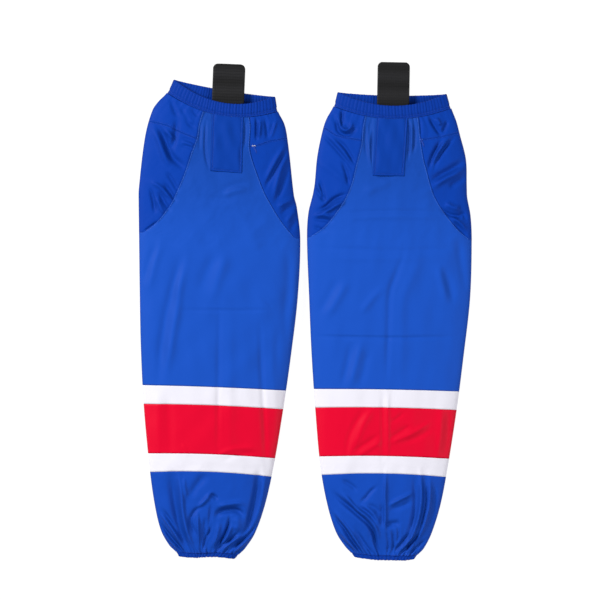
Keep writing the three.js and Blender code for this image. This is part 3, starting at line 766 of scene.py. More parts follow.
# The main panel's knit is painted darker towards the thigh hem, as shade.
blue_knit = knit("blue_knit", (27, 82, 191), roughness=0.5, gloss=0.14, sheen=0.02, hem_shade=0.22)
ankle_knit = knit("ankle_knit", (21, 74, 182), roughness=0.5, gloss=0.14, sheen=0.02)
white_knit = knit("white_knit", (235, 233, 244), roughness=0.55, gloss=0.1, sheen=0.01, slope_shade=0.3)
red_knit = knit("red_knit", (228, 4, 48), roughness=0.45, gloss=0.22, sheen=0.03, slope_shade=0.7)

FRONT_COLUMNS, BACK_COLUMNS = 150, 60
ring_x = np.concatenate([spread(FRONT_COLUMNS + 1), spread(BACK_COLUMNS + 1, 1, -1)[1:-1]])
ring_back = np.arange(len(ring_x)) > FRONT_COLUMNS


def tube(sock, name, rows, material):
    """A band of knit that goes all round the leg."""
    points = to_frame(sock, cloth(sock, rows[:, None], ring_x[None, :], ring_back[None, :]))
    faces = grid_faces(len(rows), len(ring_x), closed=True)
    return thicken(make_piece(f"{sock['name']}_{name}", points, faces, material, run_of(points)))


def seam_x(sock, side, s):
    """Where the gusset's seam crosses the sock at s, as x."""
    u, v = np.array(sock["seams"][side], float).T
    at, x = locate(sock, u, v)
    table = np.stack([np.concatenate([[GUSSET_TIP], at]), np.concatenate([[side], x])], axis=1)
    return np.where(s <= GUSSET_TIP, side, along(table, 1, s))


def main_panel(sock):
    """Upper stripe to thigh hem in one piece, with the two gusset openings cut out of its sides."""
    low = levels((STRIPES[3], GUSSET_TIP, 2.6))
    high = levels((GUSSET_TIP, 620, 2.4), (620, BAND_LOW, 1.4))[1:]
    rows = np.concatenate([low, high])
    left, right = seam_x(sock, -1, rows), seam_x(sock, 1, rows)
    front_x = np.stack([spread(FRONT_COLUMNS + 1, a, b) for a, b in zip(left, right)])
    back_x = np.stack([spread(BACK_COLUMNS + 1, b, a) for a, b in zip(left, right)])
    front = cloth(sock, rows[:, None], front_x, edge=SEAM_STEP)
    back = cloth(sock, rows[:, None], back_x, True)
    points = to_frame(sock, np.concatenate([front, back], axis=1))
    number = np.arange(points.shape[0] * points.shape[1]).reshape(points.shape[:2])
    number[: len(low), FRONT_COLUMNS + 1] = number[: len(low), FRONT_COLUMNS]
    number[: len(low), -1] = number[: len(low), 0]
    faces = []
    for first, count in ((0, FRONT_COLUMNS + 1), (FRONT_COLUMNS + 1, BACK_COLUMNS + 1)):
        block = number[:, first : first + count]
        quads = np.stack([block[:-1, :-1], block[:-1, 1:], block[1:, 1:], block[1:, :-1]], axis=-1)
        faces.append(quads.reshape(-1, 4))
    used, faces = np.unique(np.concatenate(faces), return_inverse=True)
    weave = run_of(points).reshape(-1, 2)[used]
    points = points.reshape(-1, 3)[used]
    return thicken(make_piece(f"{sock['name']}_main_panel", points, faces.reshape(-1, 4), blue_knit, weave))


def cut(sock, s, left=-1.0, right=1.0, fullness=1.0):
    """Width, length and flat area in metres of the cloth between rows s, both layers, as it was cut."""
    wide = 2 * half_width(sock, s) * (np.asarray(right) - left) * fullness + SEAM_TURN
    wide = np.broadcast_to(wide, s.shape) * MM
    steps = np.diff(s) * sock["stretch"] * MM
    area = float((steps * (wide[1:] + wide[:-1]) / 2).sum())
    size = (float(wide.max()), float(steps.sum()))
    return size, area


def over_fold(piece):
    """Bakes a piece's placement into its mesh."""
    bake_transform(piece)


for sock in SOCKS:
    name = sock["name"]
    bands = [
        ("ankle_panel", ankle_knit, levels((CUFF_HEIGHT, 30, 1), (30, STRIPES[0], 1.8)), "blue_knit"),
        ("lower_white_stripe", white_knit, levels((STRIPES[0], STRIPES[1], 2.5)), "white_knit"),
        ("red_stripe", red_knit, levels((STRIPES[1], STRIPES[2], 2.6)), "red_knit"),
        ("upper_white_stripe", white_knit, levels((STRIPES[2], STRIPES[3], 2.5)), "white_knit"),
    ]
    for label, material, rows, slot in bands:
        band = tube(sock, label, rows, material)
        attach(band, f"{name}_leg_lower")
        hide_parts(f"{name}_{label}")
        cut(sock, rows)
    panel = main_panel(sock)
    over_fold(panel)
    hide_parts(f"{name}_shin_panel", f"{name}_thigh_panel")
    rows = np.linspace(STRIPES[3], BAND_LOW, 200)
    cut(sock, rows, seam_x(sock, -1, rows), seam_x(sock, 1, rows))


# ---------------------------------------------------------------- the gussets and yokes
# A darker, smoother stretch knit fills the opening on each side of the thigh. The gusset runs from its tip
# on the side fold up to a cross seam, and the yoke from there to the thigh hem, gathered as it goes.

GUSSET_COLUMNS = 56
GUSSET_ROWS, YOKE_ROWS = 100, 36
YOKE_FULLNESS = 1.1

stretch_knit = knit("stretch_knit", (12, 64, 171), roughness=0.55, sheen=0.03, wale=0.9, course=0.8,
                    depth=0.08, gloss=0.12)


def side_x(sock, side, s, share):
    """x at each share of a gusset's width: 1 at the front seam, 0 on the side fold, -1 at the back seam."""
    return side * (1 - np.abs(share) * (1 - side * seam_x(sock, side, s)))


def side_panel(sock, side, label, low, high, rows):
    """Cloth between two rows of the gusset opening; low and high give s at each share of its width."""
    share = np.concatenate([spread(GUSSET_COLUMNS + 1, 1, 0), spread(GUSSET_COLUMNS // 2 + 1, 0, -1)[1:]])
    t = np.linspace(0, 1, rows)[:, None]
    s = low(np.abs(share)) + (high(np.abs(share)) - low(np.abs(share))) * t
    points = cloth(sock, s, side_x(sock, side, s, share), share[None, :] < 0, edge=-SEAM_STEP)
    points = to_frame(sock, points)
    if side < 0:
        points = points[:, ::-1]
    name = f"{sock['name']}_{sock['sides'][side]}_{label}"
    return thicken(make_piece(name, points, grid_faces(rows, len(share)), stretch_knit, run_of(points)))


def yoke_line(sock, side):
    """The cross seam, as s at each share of the gusset's half width."""
    u, v = np.array(sock["yokes"][side], float).T
    at, x = locate(sock, u, v)
    share = (1 - side * x) / (1 - side * seam_x(sock, side, at))
    order = np.argsort(share)
    return lambda q: np.interp(q, share[order], at[order])


for sock in SOCKS:
    for side in (-1, 1):
        cross = yoke_line(sock, side)
        gusset = side_panel(sock, side, "gusset", lambda q: GUSSET_TIP + 0.1 + 0 * q, cross, GUSSET_ROWS)
        yoke = side_panel(sock, side, "yoke", cross, lambda q: BAND_LOW + 0 * q, YOKE_ROWS)
        for piece, label in ((gusset, "gusset"), (yoke, "yoke")):
            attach(piece, f"{sock['name']}_leg_upper")
            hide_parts(f"{sock['name']}_{sock['sides'][side]}_{label}")
        seam = float(np.mean(cross(np.linspace(0, 1, 20))))
        spans = ((gusset, GUSSET_TIP, seam, 1), (yoke, seam, BAND_LOW, YOKE_FULLNESS))
        for piece, low, high, fullness in spans:
            rows = np.linspace(low, high, 80)
            inner = 1 - side * seam_x(sock, side, rows)
            cut(sock, rows, 0, inner, fullness)


# ---------------------------------------------------------------- the stitching
# Two-needle cover seams in dyed polyester thread hold the gussets, yokes and hems. Each row is one line of
# short stitches on the cloth; a dense bar tack locks the seam where the yoke's cross seam meets the front.

STITCH_SIZES = {"Pitch": 0.0026, "Stitch": (0.0021, 0.0008, 0.0006)}
BAR_TACKS = {"left": (50, 661), "right": (46, 671)}
CLOSING_ROWS = (-2.4, 2.4)


def new_tree(name, source, sizes, material):
    """A Geometry Nodes tree that takes a source mesh, some sizes and a material."""
    tree = bpy.data.node_groups.new(name, "GeometryNodeTree")
    tree.interface.new_socket(source, in_out="INPUT", socket_type="NodeSocketGeometry")
    for label, value in sizes.items():
        kind = "NodeSocketVector" if isinstance(value, tuple) else "NodeSocketFloat"
        tree.interface.new_socket(label, in_out="INPUT", socket_type=kind).default_value = value
    tree.interface.new_socket(material, in_out="INPUT", socket_type="NodeSocketMaterial")
    tree.interface.new_socket("Shapes", in_out="OUTPUT", socket_type="NodeSocketGeometry")
    return tree, tree.nodes, tree.links, tree.nodes.new("NodeGroupInput")


def close_tree(tree, instances, material):
    """Makes the instances real, gives them their material and puts them out."""
    real = tree.nodes.new("GeometryNodeRealizeInstances")
    tree.links.new(instances, real.inputs[0])
    paint = tree.nodes.new("GeometryNodeSetMaterial")
    tree.links.new(real.outputs[0], paint.inputs["Geometry"])
    tree.links.new(material, paint.inputs["Material"])
    tree.links.new(paint.outputs[0], tree.nodes.new("NodeGroupOutput").inputs[0])
    return tree


def stitch_tree():
    """Stitches laid end to end along a line, each a slim bead of thread."""
    tree, nodes, links, given = new_tree("stitch_row", "Line", STITCH_SIZES, "Thread")
    line = nodes.new("GeometryNodeMeshToCurve")
    links.new(given.outputs["Line"], line.inputs[0])
    steps = add(nodes, "GeometryNodeResampleCurve", mode="LENGTH")
    links.new(line.outputs[0], steps.inputs["Curve"])
    links.new(given.outputs["Pitch"], steps.inputs["Length"])
    bead = add(nodes, "GeometryNodeMeshUVSphere", {"Segments": 6, "Rings": 4, "Radius": 0.5})
    rounded_bead = nodes.new("GeometryNodeSetShadeSmooth")
    links.new(bead.outputs["Mesh"], rounded_bead.inputs[0])
    lie = add(nodes, "FunctionNodeAlignRotationToVector", axis="X")
    tangent = nodes.new("GeometryNodeInputTangent")
    links.new(tangent.outputs[0], lie.inputs["Vector"])
    place = nodes.new("GeometryNodeInstanceOnPoints")
    links.new(steps.outputs[0], place.inputs["Points"])
    links.new(rounded_bead.outputs[0], place.inputs["Instance"])
    links.new(lie.outputs[0], place.inputs["Rotation"])
    links.new(given.outputs["Stitch"], place.inputs["Scale"])
    return close_tree(tree, place.outputs[0], given.outputs["Thread"])


def grown(name, mesh, tree, **given):
    """The plain mesh that a tree makes of a mesh, as a piece."""
    piece = bpy.data.objects.new(name, mesh)
    bpy.context.scene.collection.objects.link(piece)
    growth = piece.modifiers.new("growth", "NODES")
    growth.node_group = tree
    for item in tree.interface.items_tree:
        if item.name in given:
            growth[item.identifier] = given[item.name]
    bpy.context.view_layer.update()
    made = bpy.data.meshes.new_from_object(piece.evaluated_get(bpy.context.evaluated_depsgraph_get()))
    piece.modifiers.remove(growth)
    piece.data = made
    made.name = name
    return piece


def followed(material, shader, mask, colour, dark, light, roughness, rougher):
    """Colour from dark to light, and roughness, that both follow one mask."""
    nodes, links = material.node_tree.nodes, material.node_tree.links
    base = np.array(linear(*colour))
    shades = nodes.new("ShaderNodeValToRGB")
    shades.color_ramp.elements[0].color = (*(base * dark), 1)
    shades.color_ramp.elements[1].color = (*np.minimum(base * light, 0.95), 1)
    links.new(mask, shades.inputs[0])
    links.new(shades.outputs[0], shader.inputs["Base Color"])
    rough = add(nodes, "ShaderNodeMath", {1: rougher, 2: roughness}, operation="MULTIPLY_ADD")
    links.new(mask, rough.inputs[0])
    links.new(rough.outputs[0], shader.inputs["Roughness"])


def thread(name, colour):
    """Twisted polyester thread: dyed, slightly glossy, a shade uneven from stitch to stitch."""
    material, shader = surface(name, {"Specular IOR Level": 0.3})
    nodes, links = material.node_tree.nodes, material.node_tree.links
    place = nodes.new("ShaderNodeTexCoord")
    twist = add(nodes, "ShaderNodeTexNoise", {"Scale": 350})
    links.new(place.outputs["Object"], twist.inputs["Vector"])
    followed(material, shader, twist.outputs[0], colour, 0.8, 1.2, 0.4, 0.2)
    return material


blue_thread = thread("blue_thread", (20, 66, 172))
light_thread = thread("light_thread", (62, 112, 214))
white_thread = thread("white_thread", (235, 240, 250))
STITCHES = stitch_tree()


def stitched(sock, label, lines, yarn, **sizes):
    """Stitches in one thread along open lines, as a piece."""
    mesh = bpy.data.meshes.new(label)
    starts = np.cumsum([0] + [len(line) for line in lines])
    edges = [(a + i, a + i + 1) for a, line in zip(starts, lines) for i in range(len(line) - 1)]
    mesh.from_pydata(np.concatenate(lines).tolist(), edges, [])
    return grown(f"{sock['name']}_{label}", mesh, STITCHES, Thread=yarn, **sizes)


def on_cloth(sock, s, x, proud=0.15, back=False, edge=0.0):
    """Points that stand a little proud of the cloth, and above the floor."""
    points = cloth(sock, s, x, back, edge=edge)
    points[..., 2] += -proud if back else proud
    points[..., 2] = np.maximum(points[..., 2], 0.1)
    return to_frame(sock, points)


def gusset_rows(sock):
    """One row beside each gusset seam, front and back."""
    rows = []
    for side in (-1, 1):
        s = np.arange(GUSSET_TIP + 3, BAND_LOW - 1, 1.0)
        for back in (False, True):
            x = seam_x(sock, side, s) - side * 1.2 / half_width(sock, s)
            rows.append(on_cloth(sock, s, x, 0.25, back, SEAM_STEP))
    return rows


def yoke_rows(sock):
    """Two rows along each yoke's cross seam."""
    rows = []
    for side in (-1, 1):
        cross = yoke_line(sock, side)
        for shift in (-1.5, 1.8):
            for share in (np.linspace(0.03, 0.98, 80), np.linspace(-0.98, -0.03, 80)):
                s = cross(np.abs(share)) + shift
                rows.append(on_cloth(sock, s, side_x(sock, side, s, share), 0.1, share[0] < 0, -SEAM_STEP))
    return rows


for sock in SOCKS:
    name = sock["name"]
    seams = stitched(sock, "gusset_stitches", gusset_rows(sock), light_thread)
    crossing = stitched(sock, "yoke_stitches", yoke_rows(sock), blue_thread)

    # a zigzag locks the seam, and the thread's two cut ends stand beside it
    u0, v0 = BAR_TACKS[name]
    zigzag = np.arange(0, 13, 0.5)
    v = v0 + 2 - zigzag * 0.9 + 1.6 * (-1) ** np.arange(len(zigzag))
    tack = on_cloth(sock, *locate(sock, u0 - 1 + zigzag * 0.5, v), 0.25)
    bars = stitched(sock, "bar_tack", [tack], blue_thread, Pitch=0.0011)
    u = u0 + np.array([-1.4, -0.2, 1.9, 2.9])
    v = v0 + np.array([0, 0.3, 0.8, 0.3])
    loose = on_cloth(sock, *locate(sock, u, v), 0.6)
    yarn = white_thread if name == "left" else light_thread
    ends = stitched(sock, "thread_ends", [loose[:2], loose[2:]], yarn, Pitch=0.0012,
                    Stitch=(0.0016, 0.0012, 0.0009))
    for piece in (seams, crossing, bars, ends):
        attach(piece, f"{name}_leg_upper")

    # the closing seam runs up the middle of the back, from hem to hem
    s = np.arange(CUFF_HEIGHT + 2, BAND_LOW - 2, 0.8)
    closing = [on_cloth(sock, s, reach / half_width(sock, s), 0.1, True) for reach in CLOSING_ROWS]
    back_seam = stitched(sock, "back_stitches", closing, blue_thread)
    over_fold(back_seam)


# ---------------------------------------------------------------- the two hems
# At the ankle the knit is turned up over a narrow braided elastic and draws in to about 100 across, in small
# ruffles. At the thigh a hem of the stretch knit is turned over a 20 wide one, which draws it into even ribs
# about five apart. Cover stitch holds them: one row at the ankle and two at the thigh.

CUFF_RIBS = 17
BAND_RIBS = 36
HEM_COLUMNS = 300
HEM_FULLNESS = 1.3
ELASTIC_COLUMNS = 91

hem_knit = knit("hem_knit", (11, 57, 158), roughness=0.55, wale=0.9, course=0.8, depth=0.08, gloss=0.12,
                sheen=0.02)
elastic = knit("braided_elastic", (226, 226, 222), roughness=0.7, wale=1.6, course=0.7, depth=0.2)


def there_and_back(count, end):
    """x across the front and back again under it, and which of the points are on the back."""
    x = np.concatenate([np.linspace(-end, end, count), np.linspace(end, -end, count)[1:-1]])
    return x[None, :], (np.arange(len(x)) > count - 1)[None, :]


def hem_casing(sock, name, low, high, deep, rib_count, rib_depth, sewn_at, scallop=0.5):
    """Knit turned over an elastic: up the outside, over the open edge, and back down the inside."""
    rise = abs(high - low)
    t = np.linspace(0, 1, 20)
    outer = np.stack([rise * t, 1.0 - 1.0 * smooth(sewn_at, sewn_at + 3, rise * t)], axis=1)
    turn = np.linspace(0, math.pi, 8)[1:-1]
    over = np.stack([rise + 0.9 * np.sin(turn), deep / 2 - deep / 2 * np.cos(turn)], axis=1)
    inner = outer[::-1] * [1, -1] + [0, deep]
    profile = np.concatenate([outer, over, inner])
    run, depth = profile[:, 0:1], profile[:, 1:2]
    s = low + run * np.sign(high - low)
    x, back = there_and_back(HEM_COLUMNS + 1, 1)
    wave = ribs(sock, s, x, rib_count)
    full = smooth(0, sewn_at + 2, run)
    outside = np.where(np.arange(len(profile)) < len(profile) / 2, 1.0, -0.6)[:, None]
    inset = depth + rib_depth * outside * (1 - wave) * (0.35 + 0.65 * full)
    reach = s - scallop * np.sign(high - low) * (1 - wave) * smooth(rise - 3, rise, run)
    points = to_frame(sock, lay(sock, reach, x, back, inset))
    faces = grid_faces(len(profile), x.shape[1], closed=True)
    if high < low:
        faces = faces[:, ::-1]
    return thicken(make_piece(f"{sock['name']}_{name}", points, faces, hem_knit, run_of(points)), 0.75)


def hem_elastic(sock, name, low, high, near, far):
    """A flat elastic inside a hem, a little wavy along its edges."""
    x, back = there_and_back(ELASTIC_COLUMNS, 0.99)
    s = np.array([low, low, high, high])[:, None] + 0.15 * np.sin(90 * x)
    inset = np.array([far, near, near, far])[:, None] + 0 * s
    points = to_frame(sock, lay(sock, s, x, back, inset))
    columns = x.shape[1]
    sides = grid_faces(4, columns, closed=True)
    last = grid_faces(2, columns, closed=True)
    last = np.where(last < columns, last + 3 * columns, last - columns)
    faces = np.concatenate([sides, last])
    return make_piece(f"{sock['name']}_{name}", points, faces, elastic, run_of(points))


def fit_hem(sock, label, casing, band, rows, edges, body):
    """Sews a hem along rows and fits it to its body."""
    name = sock["name"]
    stitches = stitched(sock, f"{label}_stitches", rows, blue_thread)
    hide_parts(f"{name}_{label}_casing")
    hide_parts(f"{name}_{label}_elastic")
    (wide, _), _ = cut(sock, np.array(edges, float), fullness=HEM_FULLNESS)
    for piece in (casing, band, stitches):
        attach(piece, f"{name}_{body}")


for sock in SOCKS:
    casing = hem_casing(sock, "cuff_casing", CUFF_HEIGHT, 0.9, 3.0, CUFF_RIBS, 1.25, 0.8, 1.3)
    band = hem_elastic(sock, "cuff_elastic", 1.8, 6.0, 1.5, 1.9)
    s = np.full(400, CUFF_HEIGHT + 0.6)
    x = np.linspace(-0.985, 0.985, 400)
    rows = [on_cloth(sock, s, x, 0.15, back) for back in (False, True)]
    fit_hem(sock, "cuff", casing, band, rows, (0, CUFF_HEIGHT), "leg_lower")

for sock in SOCKS:
    casing = hem_casing(sock, "band_casing", BAND_LOW, SOCK_LENGTH - 0.9, 3.6, BAND_RIBS, 0.95, 5)
    band = hem_elastic(sock, "band_elastic", 728.5, 741.5, 1.85, 2.3)
    x = np.linspace(-0.985, 0.985, 500)
    rows = [
        to_frame(sock, lay(sock, np.full(500, at), x, back, 0.5 if back else 0.9))
        for at in (BAND_LOW + 0.9, BAND_LOW + 4.2)
        for back in (False, True)
    ]
    fit_hem(sock, "band", casing, band, rows, (BAND_LOW, SOCK_LENGTH), "leg_upper")


# ---------------------------------------------------------------- the strap
# Black two-inch webbing, woven in ribs across its width, stitched flat behind the front and standing out of
# the mouth with its corners cut round. Hook tape on its rear face grips the player's shorts.

STRAP_HALF = 25.7
STRAP_THICK = 2.0
STRAP_CORNER = 8
STRAP_FOOT = 618  # where its stitched end begins
STRAP_STEP = 0.4
STRAP_COLUMNS = 27
RIB_PITCH = 4.6
PAD_COLUMNS, PAD_ROWS = 45, 37
PAD_THICK = 0.6


def woven(name, colour, roughness, rib, yarn):
    """Dark woven tape: yarns along it and across it, with painted highlight on the crowns and painted shade
    in the hollows.
    """
    material, shader = surface(name, {"Specular IOR Level": 0.25, "Sheen Weight": 0.05})
    nodes, links = material.node_tree.nodes, material.node_tree.links
    weave = add(nodes, "ShaderNodeUVMap", uv_map="weave")
    mixed = add(nodes, "ShaderNodeMix", {"Factor": 0.25})
    for direction, pitch, waver, side in (("X", yarn, 0.2, "B"), ("Y", rib, 1.5, "A")):
        yarns = add(nodes, "ShaderNodeTexWave", bands_direction=direction)
        yarns.inputs["Scale"].default_value = 1 / (pitch * MM) * 0.05
        yarns.inputs["Distortion"].default_value = waver
        links.new(weave.outputs[0], yarns.inputs["Vector"])
        links.new(yarns.outputs["Fac"], mixed.inputs[side])
    # Painted highlight and shade: the colour runs from 0.4 to 1.8 times the base, darkest in the hollows and
    # lightest on the crowns.
    followed(material, shader, mixed.outputs[0], colour, 0.4, 1.8, roughness, -0.15)
    bump = add(nodes, "ShaderNodeBump", {"Distance": 0.35 * MM})
    links.new(mixed.outputs[0], bump.inputs["Height"])
    links.new(bump.outputs[0], shader.inputs["Normal"])
    return material


webbing = woven("webbing", (19, 19, 21), 0.7, RIB_PITCH, 0.45)


def by_strap(sock, s, reach):
    """The x of a point that lies reach to the right of the strap's middle."""
    return (sock["strap"] + reach - middle(sock, s)) / half_width(sock, s)


def strap_height(sock):
    """Underside of the hem at the strap, and the level at which the strap leaves the mouth."""
    x = by_strap(sock, SOCK_LENGTH, np.array([-25, 0, 25]))
    edge = lay(sock, np.full(3, float(SOCK_LENGTH)), x, inset=4.2)
    return edge[:, 1].max() + 0.3, edge[:, 2].min()


def strap_piece(sock):
    """One length of webbing, its cross-section a closed ring of top and bottom points."""
    mouth, level = strap_height(sock)
    behind = np.arange(STRAP_FOOT, SOCK_LENGTH, STRAP_STEP)
    free = np.arange(0, sock["reach"] + 0.01, STRAP_STEP)
    corner = np.clip(free - (sock["reach"] - STRAP_CORNER), 0, STRAP_CORNER)
    narrow = STRAP_CORNER - np.sqrt(STRAP_CORNER**2 - corner**2)
    half = np.concatenate([np.full(len(behind), float(STRAP_HALF)), STRAP_HALF - narrow])
    ring = np.concatenate([np.linspace(-1, 1, STRAP_COLUMNS), np.linspace(1, -1, STRAP_COLUMNS)])
    face = np.repeat([0.0, 1.0], STRAP_COLUMNS)
    reach = half[:, None] * ring[None, :]
    count = len(behind)
    s = behind[:, None]
    depth = 1.8 + (4.2 - 1.8) * smooth(BAND_LOW - 14, BAND_LOW - 4, s)
    under = lay(sock, s, by_strap(sock, s, reach[:count]), inset=depth)
    length = np.concatenate([behind - SOCK_LENGTH, free])[:, None]
    points = np.stack([sock["strap"] + reach, length + mouth + 0 * reach, level + 0 * reach], axis=-1)
    join = smooth(SOCK_LENGTH - 12, SOCK_LENGTH, s)[..., None]
    points[:count] = under * (1 - join) + points[:count] * join
    waver = 0.25 * np.sin(reach * 0.21 + 0.3 * length) + 0.2 * np.sin(length * 0.9)
    rib = np.abs(np.sin(math.pi * (length + waver) / RIB_PITCH)) ** 0.8
    selvage = smooth(0.9, 0.97, np.abs(ring))[None, :]
    thin = 0.5 * (1 - rib) * (1 - 0.6 * selvage) + 0.5 * smooth(0.985, 1, np.abs(ring))[None, :]
    points[..., 2] -= face * (STRAP_THICK - thin) + (1 - face) * thin
    placed = to_frame(sock, points)[:, ::-1]
    rows, columns = placed.shape[:2]
    across = np.arange(STRAP_COLUMNS)
    ends = []
    for row, turned in ((0, True), (rows - 1, False)):
        a = row * columns + across[:-1]
        b = row * columns + columns - 1 - across[:-1]
        quads = np.stack([a, a + 1, b - 1, b], axis=-1)
        ends.append(quads[:, ::-1] if turned else quads)
    faces = np.concatenate([grid_faces(rows, columns, closed=True)[:, ::-1], *ends])
    run = np.stack([reach[:, ::-1] * MM, np.broadcast_to(length * MM, reach.shape)], axis=-1)
    return make_piece(f"{sock['name']}_strap", placed, faces, webbing, run)


def hook_tree():
    """A field of small hooks on the points of a grid, every other one turned about."""
    sizes = {"Hook Radius": 0.00045, "Wire": 0.00011}
    tree, nodes, links, given = new_tree("hook_field", "Backing", sizes, "Nylon")
    bend = add(nodes, "GeometryNodeCurveArc", {"Resolution": 6, "Sweep Angle": math.radians(230)})
    links.new(given.outputs["Hook Radius"], bend.inputs["Radius"])
    wire = add(nodes, "GeometryNodeCurvePrimitiveCircle", {"Resolution": 3})
    links.new(given.outputs["Wire"], wire.inputs["Radius"])
    sweep = add(nodes, "GeometryNodeCurveToMesh", {"Fill Caps": True})
    links.new(bend.outputs["Curve"], sweep.inputs["Curve"])
    links.new(wire.outputs["Curve"], sweep.inputs["Profile Curve"])
    place = nodes.new("GeometryNodeInstanceOnPoints")
    links.new(given.outputs["Backing"], place.inputs["Points"])
    links.new(sweep.outputs[0], place.inputs["Instance"])
    count = nodes.new("GeometryNodeInputIndex")
    turn = add(nodes, "ShaderNodeMath", {1: math.pi}, operation="MULTIPLY")
    links.new(count.outputs[0], turn.inputs[0])
    angles = add(nodes, "ShaderNodeCombineXYZ", {0: math.radians(90)})
    links.new(turn.outputs[0], angles.inputs[2])
    links.new(angles.outputs[0], place.inputs["Rotation"])
    return close_tree(tree, place.outputs[0], given.outputs["Nylon"])


HOOKS = hook_tree()
hook_tape = woven("hook_tape", (26, 26, 27), 0.6, 1.2, 1.2)


def under_strap(sock, u, v, depth):
    """Points of a grid that lies flat below the free end of the strap."""
    mouth, level = strap_height(sock)
    return np.stack([sock["strap"] + u, mouth + v, level - STRAP_THICK - depth + 0 * u], axis=-1)


def hook_pad(sock):
    """The hook tape's backing, a flat slab that lies face down."""
    u, v = np.meshgrid(np.linspace(-22, 22, PAD_COLUMNS), np.linspace(24, sock["reach"] - 4, PAD_ROWS))
    points = np.concatenate([under_strap(sock, u, v, 0), under_strap(sock, u, v, PAD_THICK)])
    slab = PAD_COLUMNS * PAD_ROWS
    faces = [grid_faces(PAD_ROWS, PAD_COLUMNS), grid_faces(PAD_ROWS, PAD_COLUMNS, first=slab)[:, ::-1]]
    number = np.arange(slab).reshape(PAD_ROWS, PAD_COLUMNS)
    rim = np.concatenate([number[0], number[1:, -1], number[-1, -2::-1], number[-2:0:-1, 0]])
    following = np.roll(rim, -1)
    faces.append(np.stack([rim + slab, following + slab, following, rim], axis=-1))
    faces = np.concatenate(faces)
    run = np.concatenate([np.stack([u, v], axis=-1)] * 2) * MM
    return make_piece(f"{sock['name']}_hook_pad", to_frame(sock, points), faces, hook_tape, run)


for sock in SOCKS:
    name = sock["name"]
    mouth, level = strap_height(sock)
    strap = strap_piece(sock)
    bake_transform(strap)
    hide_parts(f"{name}_strap_anchor", f"{name}_strap_tab")

    backing = hook_pad(sock)
    u, v = np.meshgrid(np.linspace(-20.5, 20.5, 28), np.linspace(25.5, sock["reach"] - 5.5, 22))
    roots = under_strap(sock, u, v, 0.85)
    field = bpy.data.meshes.new("hook_roots")
    field.from_pydata(to_frame(sock, roots).reshape(-1, 3).tolist(), [], [])
    hooks = grown(f"{name}_hooks", field, HOOKS, Nylon=hook_tape)
    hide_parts(f"{name}_hook_pad")
    for piece in (backing, hooks):
        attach(piece, f"{name}_strap")


# ---------------------------------------------------------------- the strap's patch
# A rectangle of the blue knit, its edges turned under, sewn round over the strap's stitching. Held flat by
# the webbing behind it, it stays smooth while the cloth beside it gathers.

PATCH_LOW = 611
PATCH_HALF = 25.4
SEWN_IN = 3.4  # from the patch's edge to its stitching

patch_knit = knit("patch_knit", (12, 62, 163), roughness=0.55, wale=1.1, course=0.9, gloss=0.12, sheen=0.02)


def on_patch(sock, s, u):
    """The undisturbed cloth at u from the patch's middle, which leans a little between its two ends."""
    slide = np.interp(s, (PATCH_LOW, BAND_LOW), sock["lean"][::-1])
    return lay(sock, s, by_strap(sock, s, slide + u))


def strap_patch(sock):
    """The patch with its rolled edge, the dip along its stitching, and soft slanting waves in its middle."""
    u = spread(70, -PATCH_HALF, PATCH_HALF, 0.75)
    s = spread(110, PATCH_LOW, BAND_LOW + 0.4, 0.7)[:, None]
    top = on_patch(sock, s, u[None, :])
    inwards = np.minimum(PATCH_HALF - np.abs(u)[None, :], np.where(s > 700, 99, s - PATCH_LOW))
    rolled = 1.3 * (1 - np.exp(-((inwards / 0.55) ** 1.5))) - 0.25
    dip = -0.45 * np.exp(-(((inwards - SEWN_IN) / 0.8) ** 2))
    slant = (u[None, :] + 0.45 * (s - 668)) * 0.17
    soft = 0.5 * np.sin(slant) + 0.35 * uneven(sock, u[None, :] * 1.6 + 0 * s, s)
    top[..., 2] += rolled + dip + np.maximum(soft + 0.35, -0.55) * smooth(3, 9, inwards)
    points = to_frame(sock, top)
    faces = grid_faces(*points.shape[:2])
    return thicken(make_piece(f"{sock['name']}_strap_patch", points, faces, patch_knit, run_of(points)))


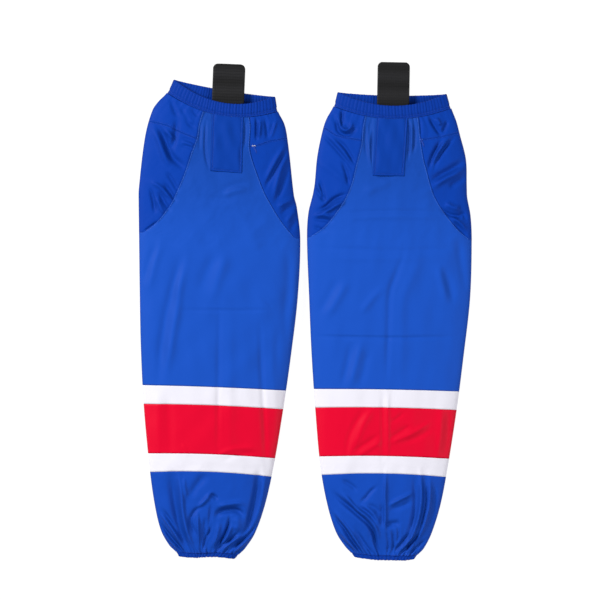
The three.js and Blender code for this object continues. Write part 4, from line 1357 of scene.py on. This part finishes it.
def patch_row(sock):
    """Down one side of the patch, along its foot and up the other side."""
    foot, inner = PATCH_LOW + SEWN_IN, PATCH_HALF - SEWN_IN
    down, up = np.arange(719, foot, -1), np.arange(foot, 719, 1)
    s = np.concatenate([down, np.full(45, foot), up])
    u = np.concatenate([np.full(len(down), -inner), np.linspace(-inner, inner, 45), np.full(len(up), inner)])
    line = on_patch(sock, s, u)
    line[:, 2] += 0.75
    return to_frame(sock, line)


for sock in SOCKS:
    name = sock["name"]
    patch = strap_patch(sock)
    around = stitched(sock, "patch_stitches", [patch_row(sock)], blue_thread)
    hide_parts(f"{name}_strap_patch")
    for piece in (patch, around):
        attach(piece, f"{name}_leg_upper")


# ---------------------------------------------------------------- the setting
# A plain white floor under soft, even studio light from the upper left, seen from straight above.

FLOOR_HALF = 4
FLOOR_LEVEL = -0.0005

floor_mesh = bpy.data.meshes.new("floor")
corners = ((-1, -1), (1, -1), (1, 1), (-1, 1))
corners = [(x * FLOOR_HALF, y * FLOOR_HALF, FLOOR_LEVEL) for x, y in corners]
floor_mesh.from_pydata(corners, [], [(0, 1, 2, 3)])
floor = bpy.data.objects.new("floor", floor_mesh)
bpy.context.scene.collection.objects.link(floor)
paper, _ = surface("white_paper", {
    "Base Color": (0.12, 0.12, 0.12, 1), "Roughness": 0.9, "Specular IOR Level": 0,
    "Emission Color": (1, 1, 1, 1), "Emission Strength": 0.95,
})
floor_mesh.materials.append(paper)

world = bpy.data.worlds.new("studio")
world.use_nodes = True
world.node_tree.nodes["Background"].inputs["Color"].default_value = (1, 1, 1, 1)
world.node_tree.nodes["Background"].inputs["Strength"].default_value = 0.3
bpy.context.scene.world = world


def softbox(name, place, size, power):
    """A square light that faces the middle of the floor."""
    light = bpy.data.lights.new(name, "AREA")
    light.size = size
    light.energy = power
    lamp = bpy.data.objects.new(name, light)
    lamp.location = place
    lamp.rotation_euler = (-Vector(place)).to_track_quat("-Z", "Y").to_euler()
    bpy.context.scene.collection.objects.link(lamp)


softbox("key_softbox", (-4.4, 2.4, 3.3), 1.7, 370)
softbox("fill_softbox", (2.6, -0.9, 2.4), 1.8, 55)

lens = bpy.data.cameras.new("camera")
lens.lens = 120
lens.sensor_width = 36
camera = bpy.data.objects.new("camera", lens)
camera.location = (-0.0072, 0.0177, 3.2)
bpy.context.scene.collection.objects.link(camera)
bpy.context.scene.camera = camera
bpy.context.scene.view_settings.view_transform = "Standard"
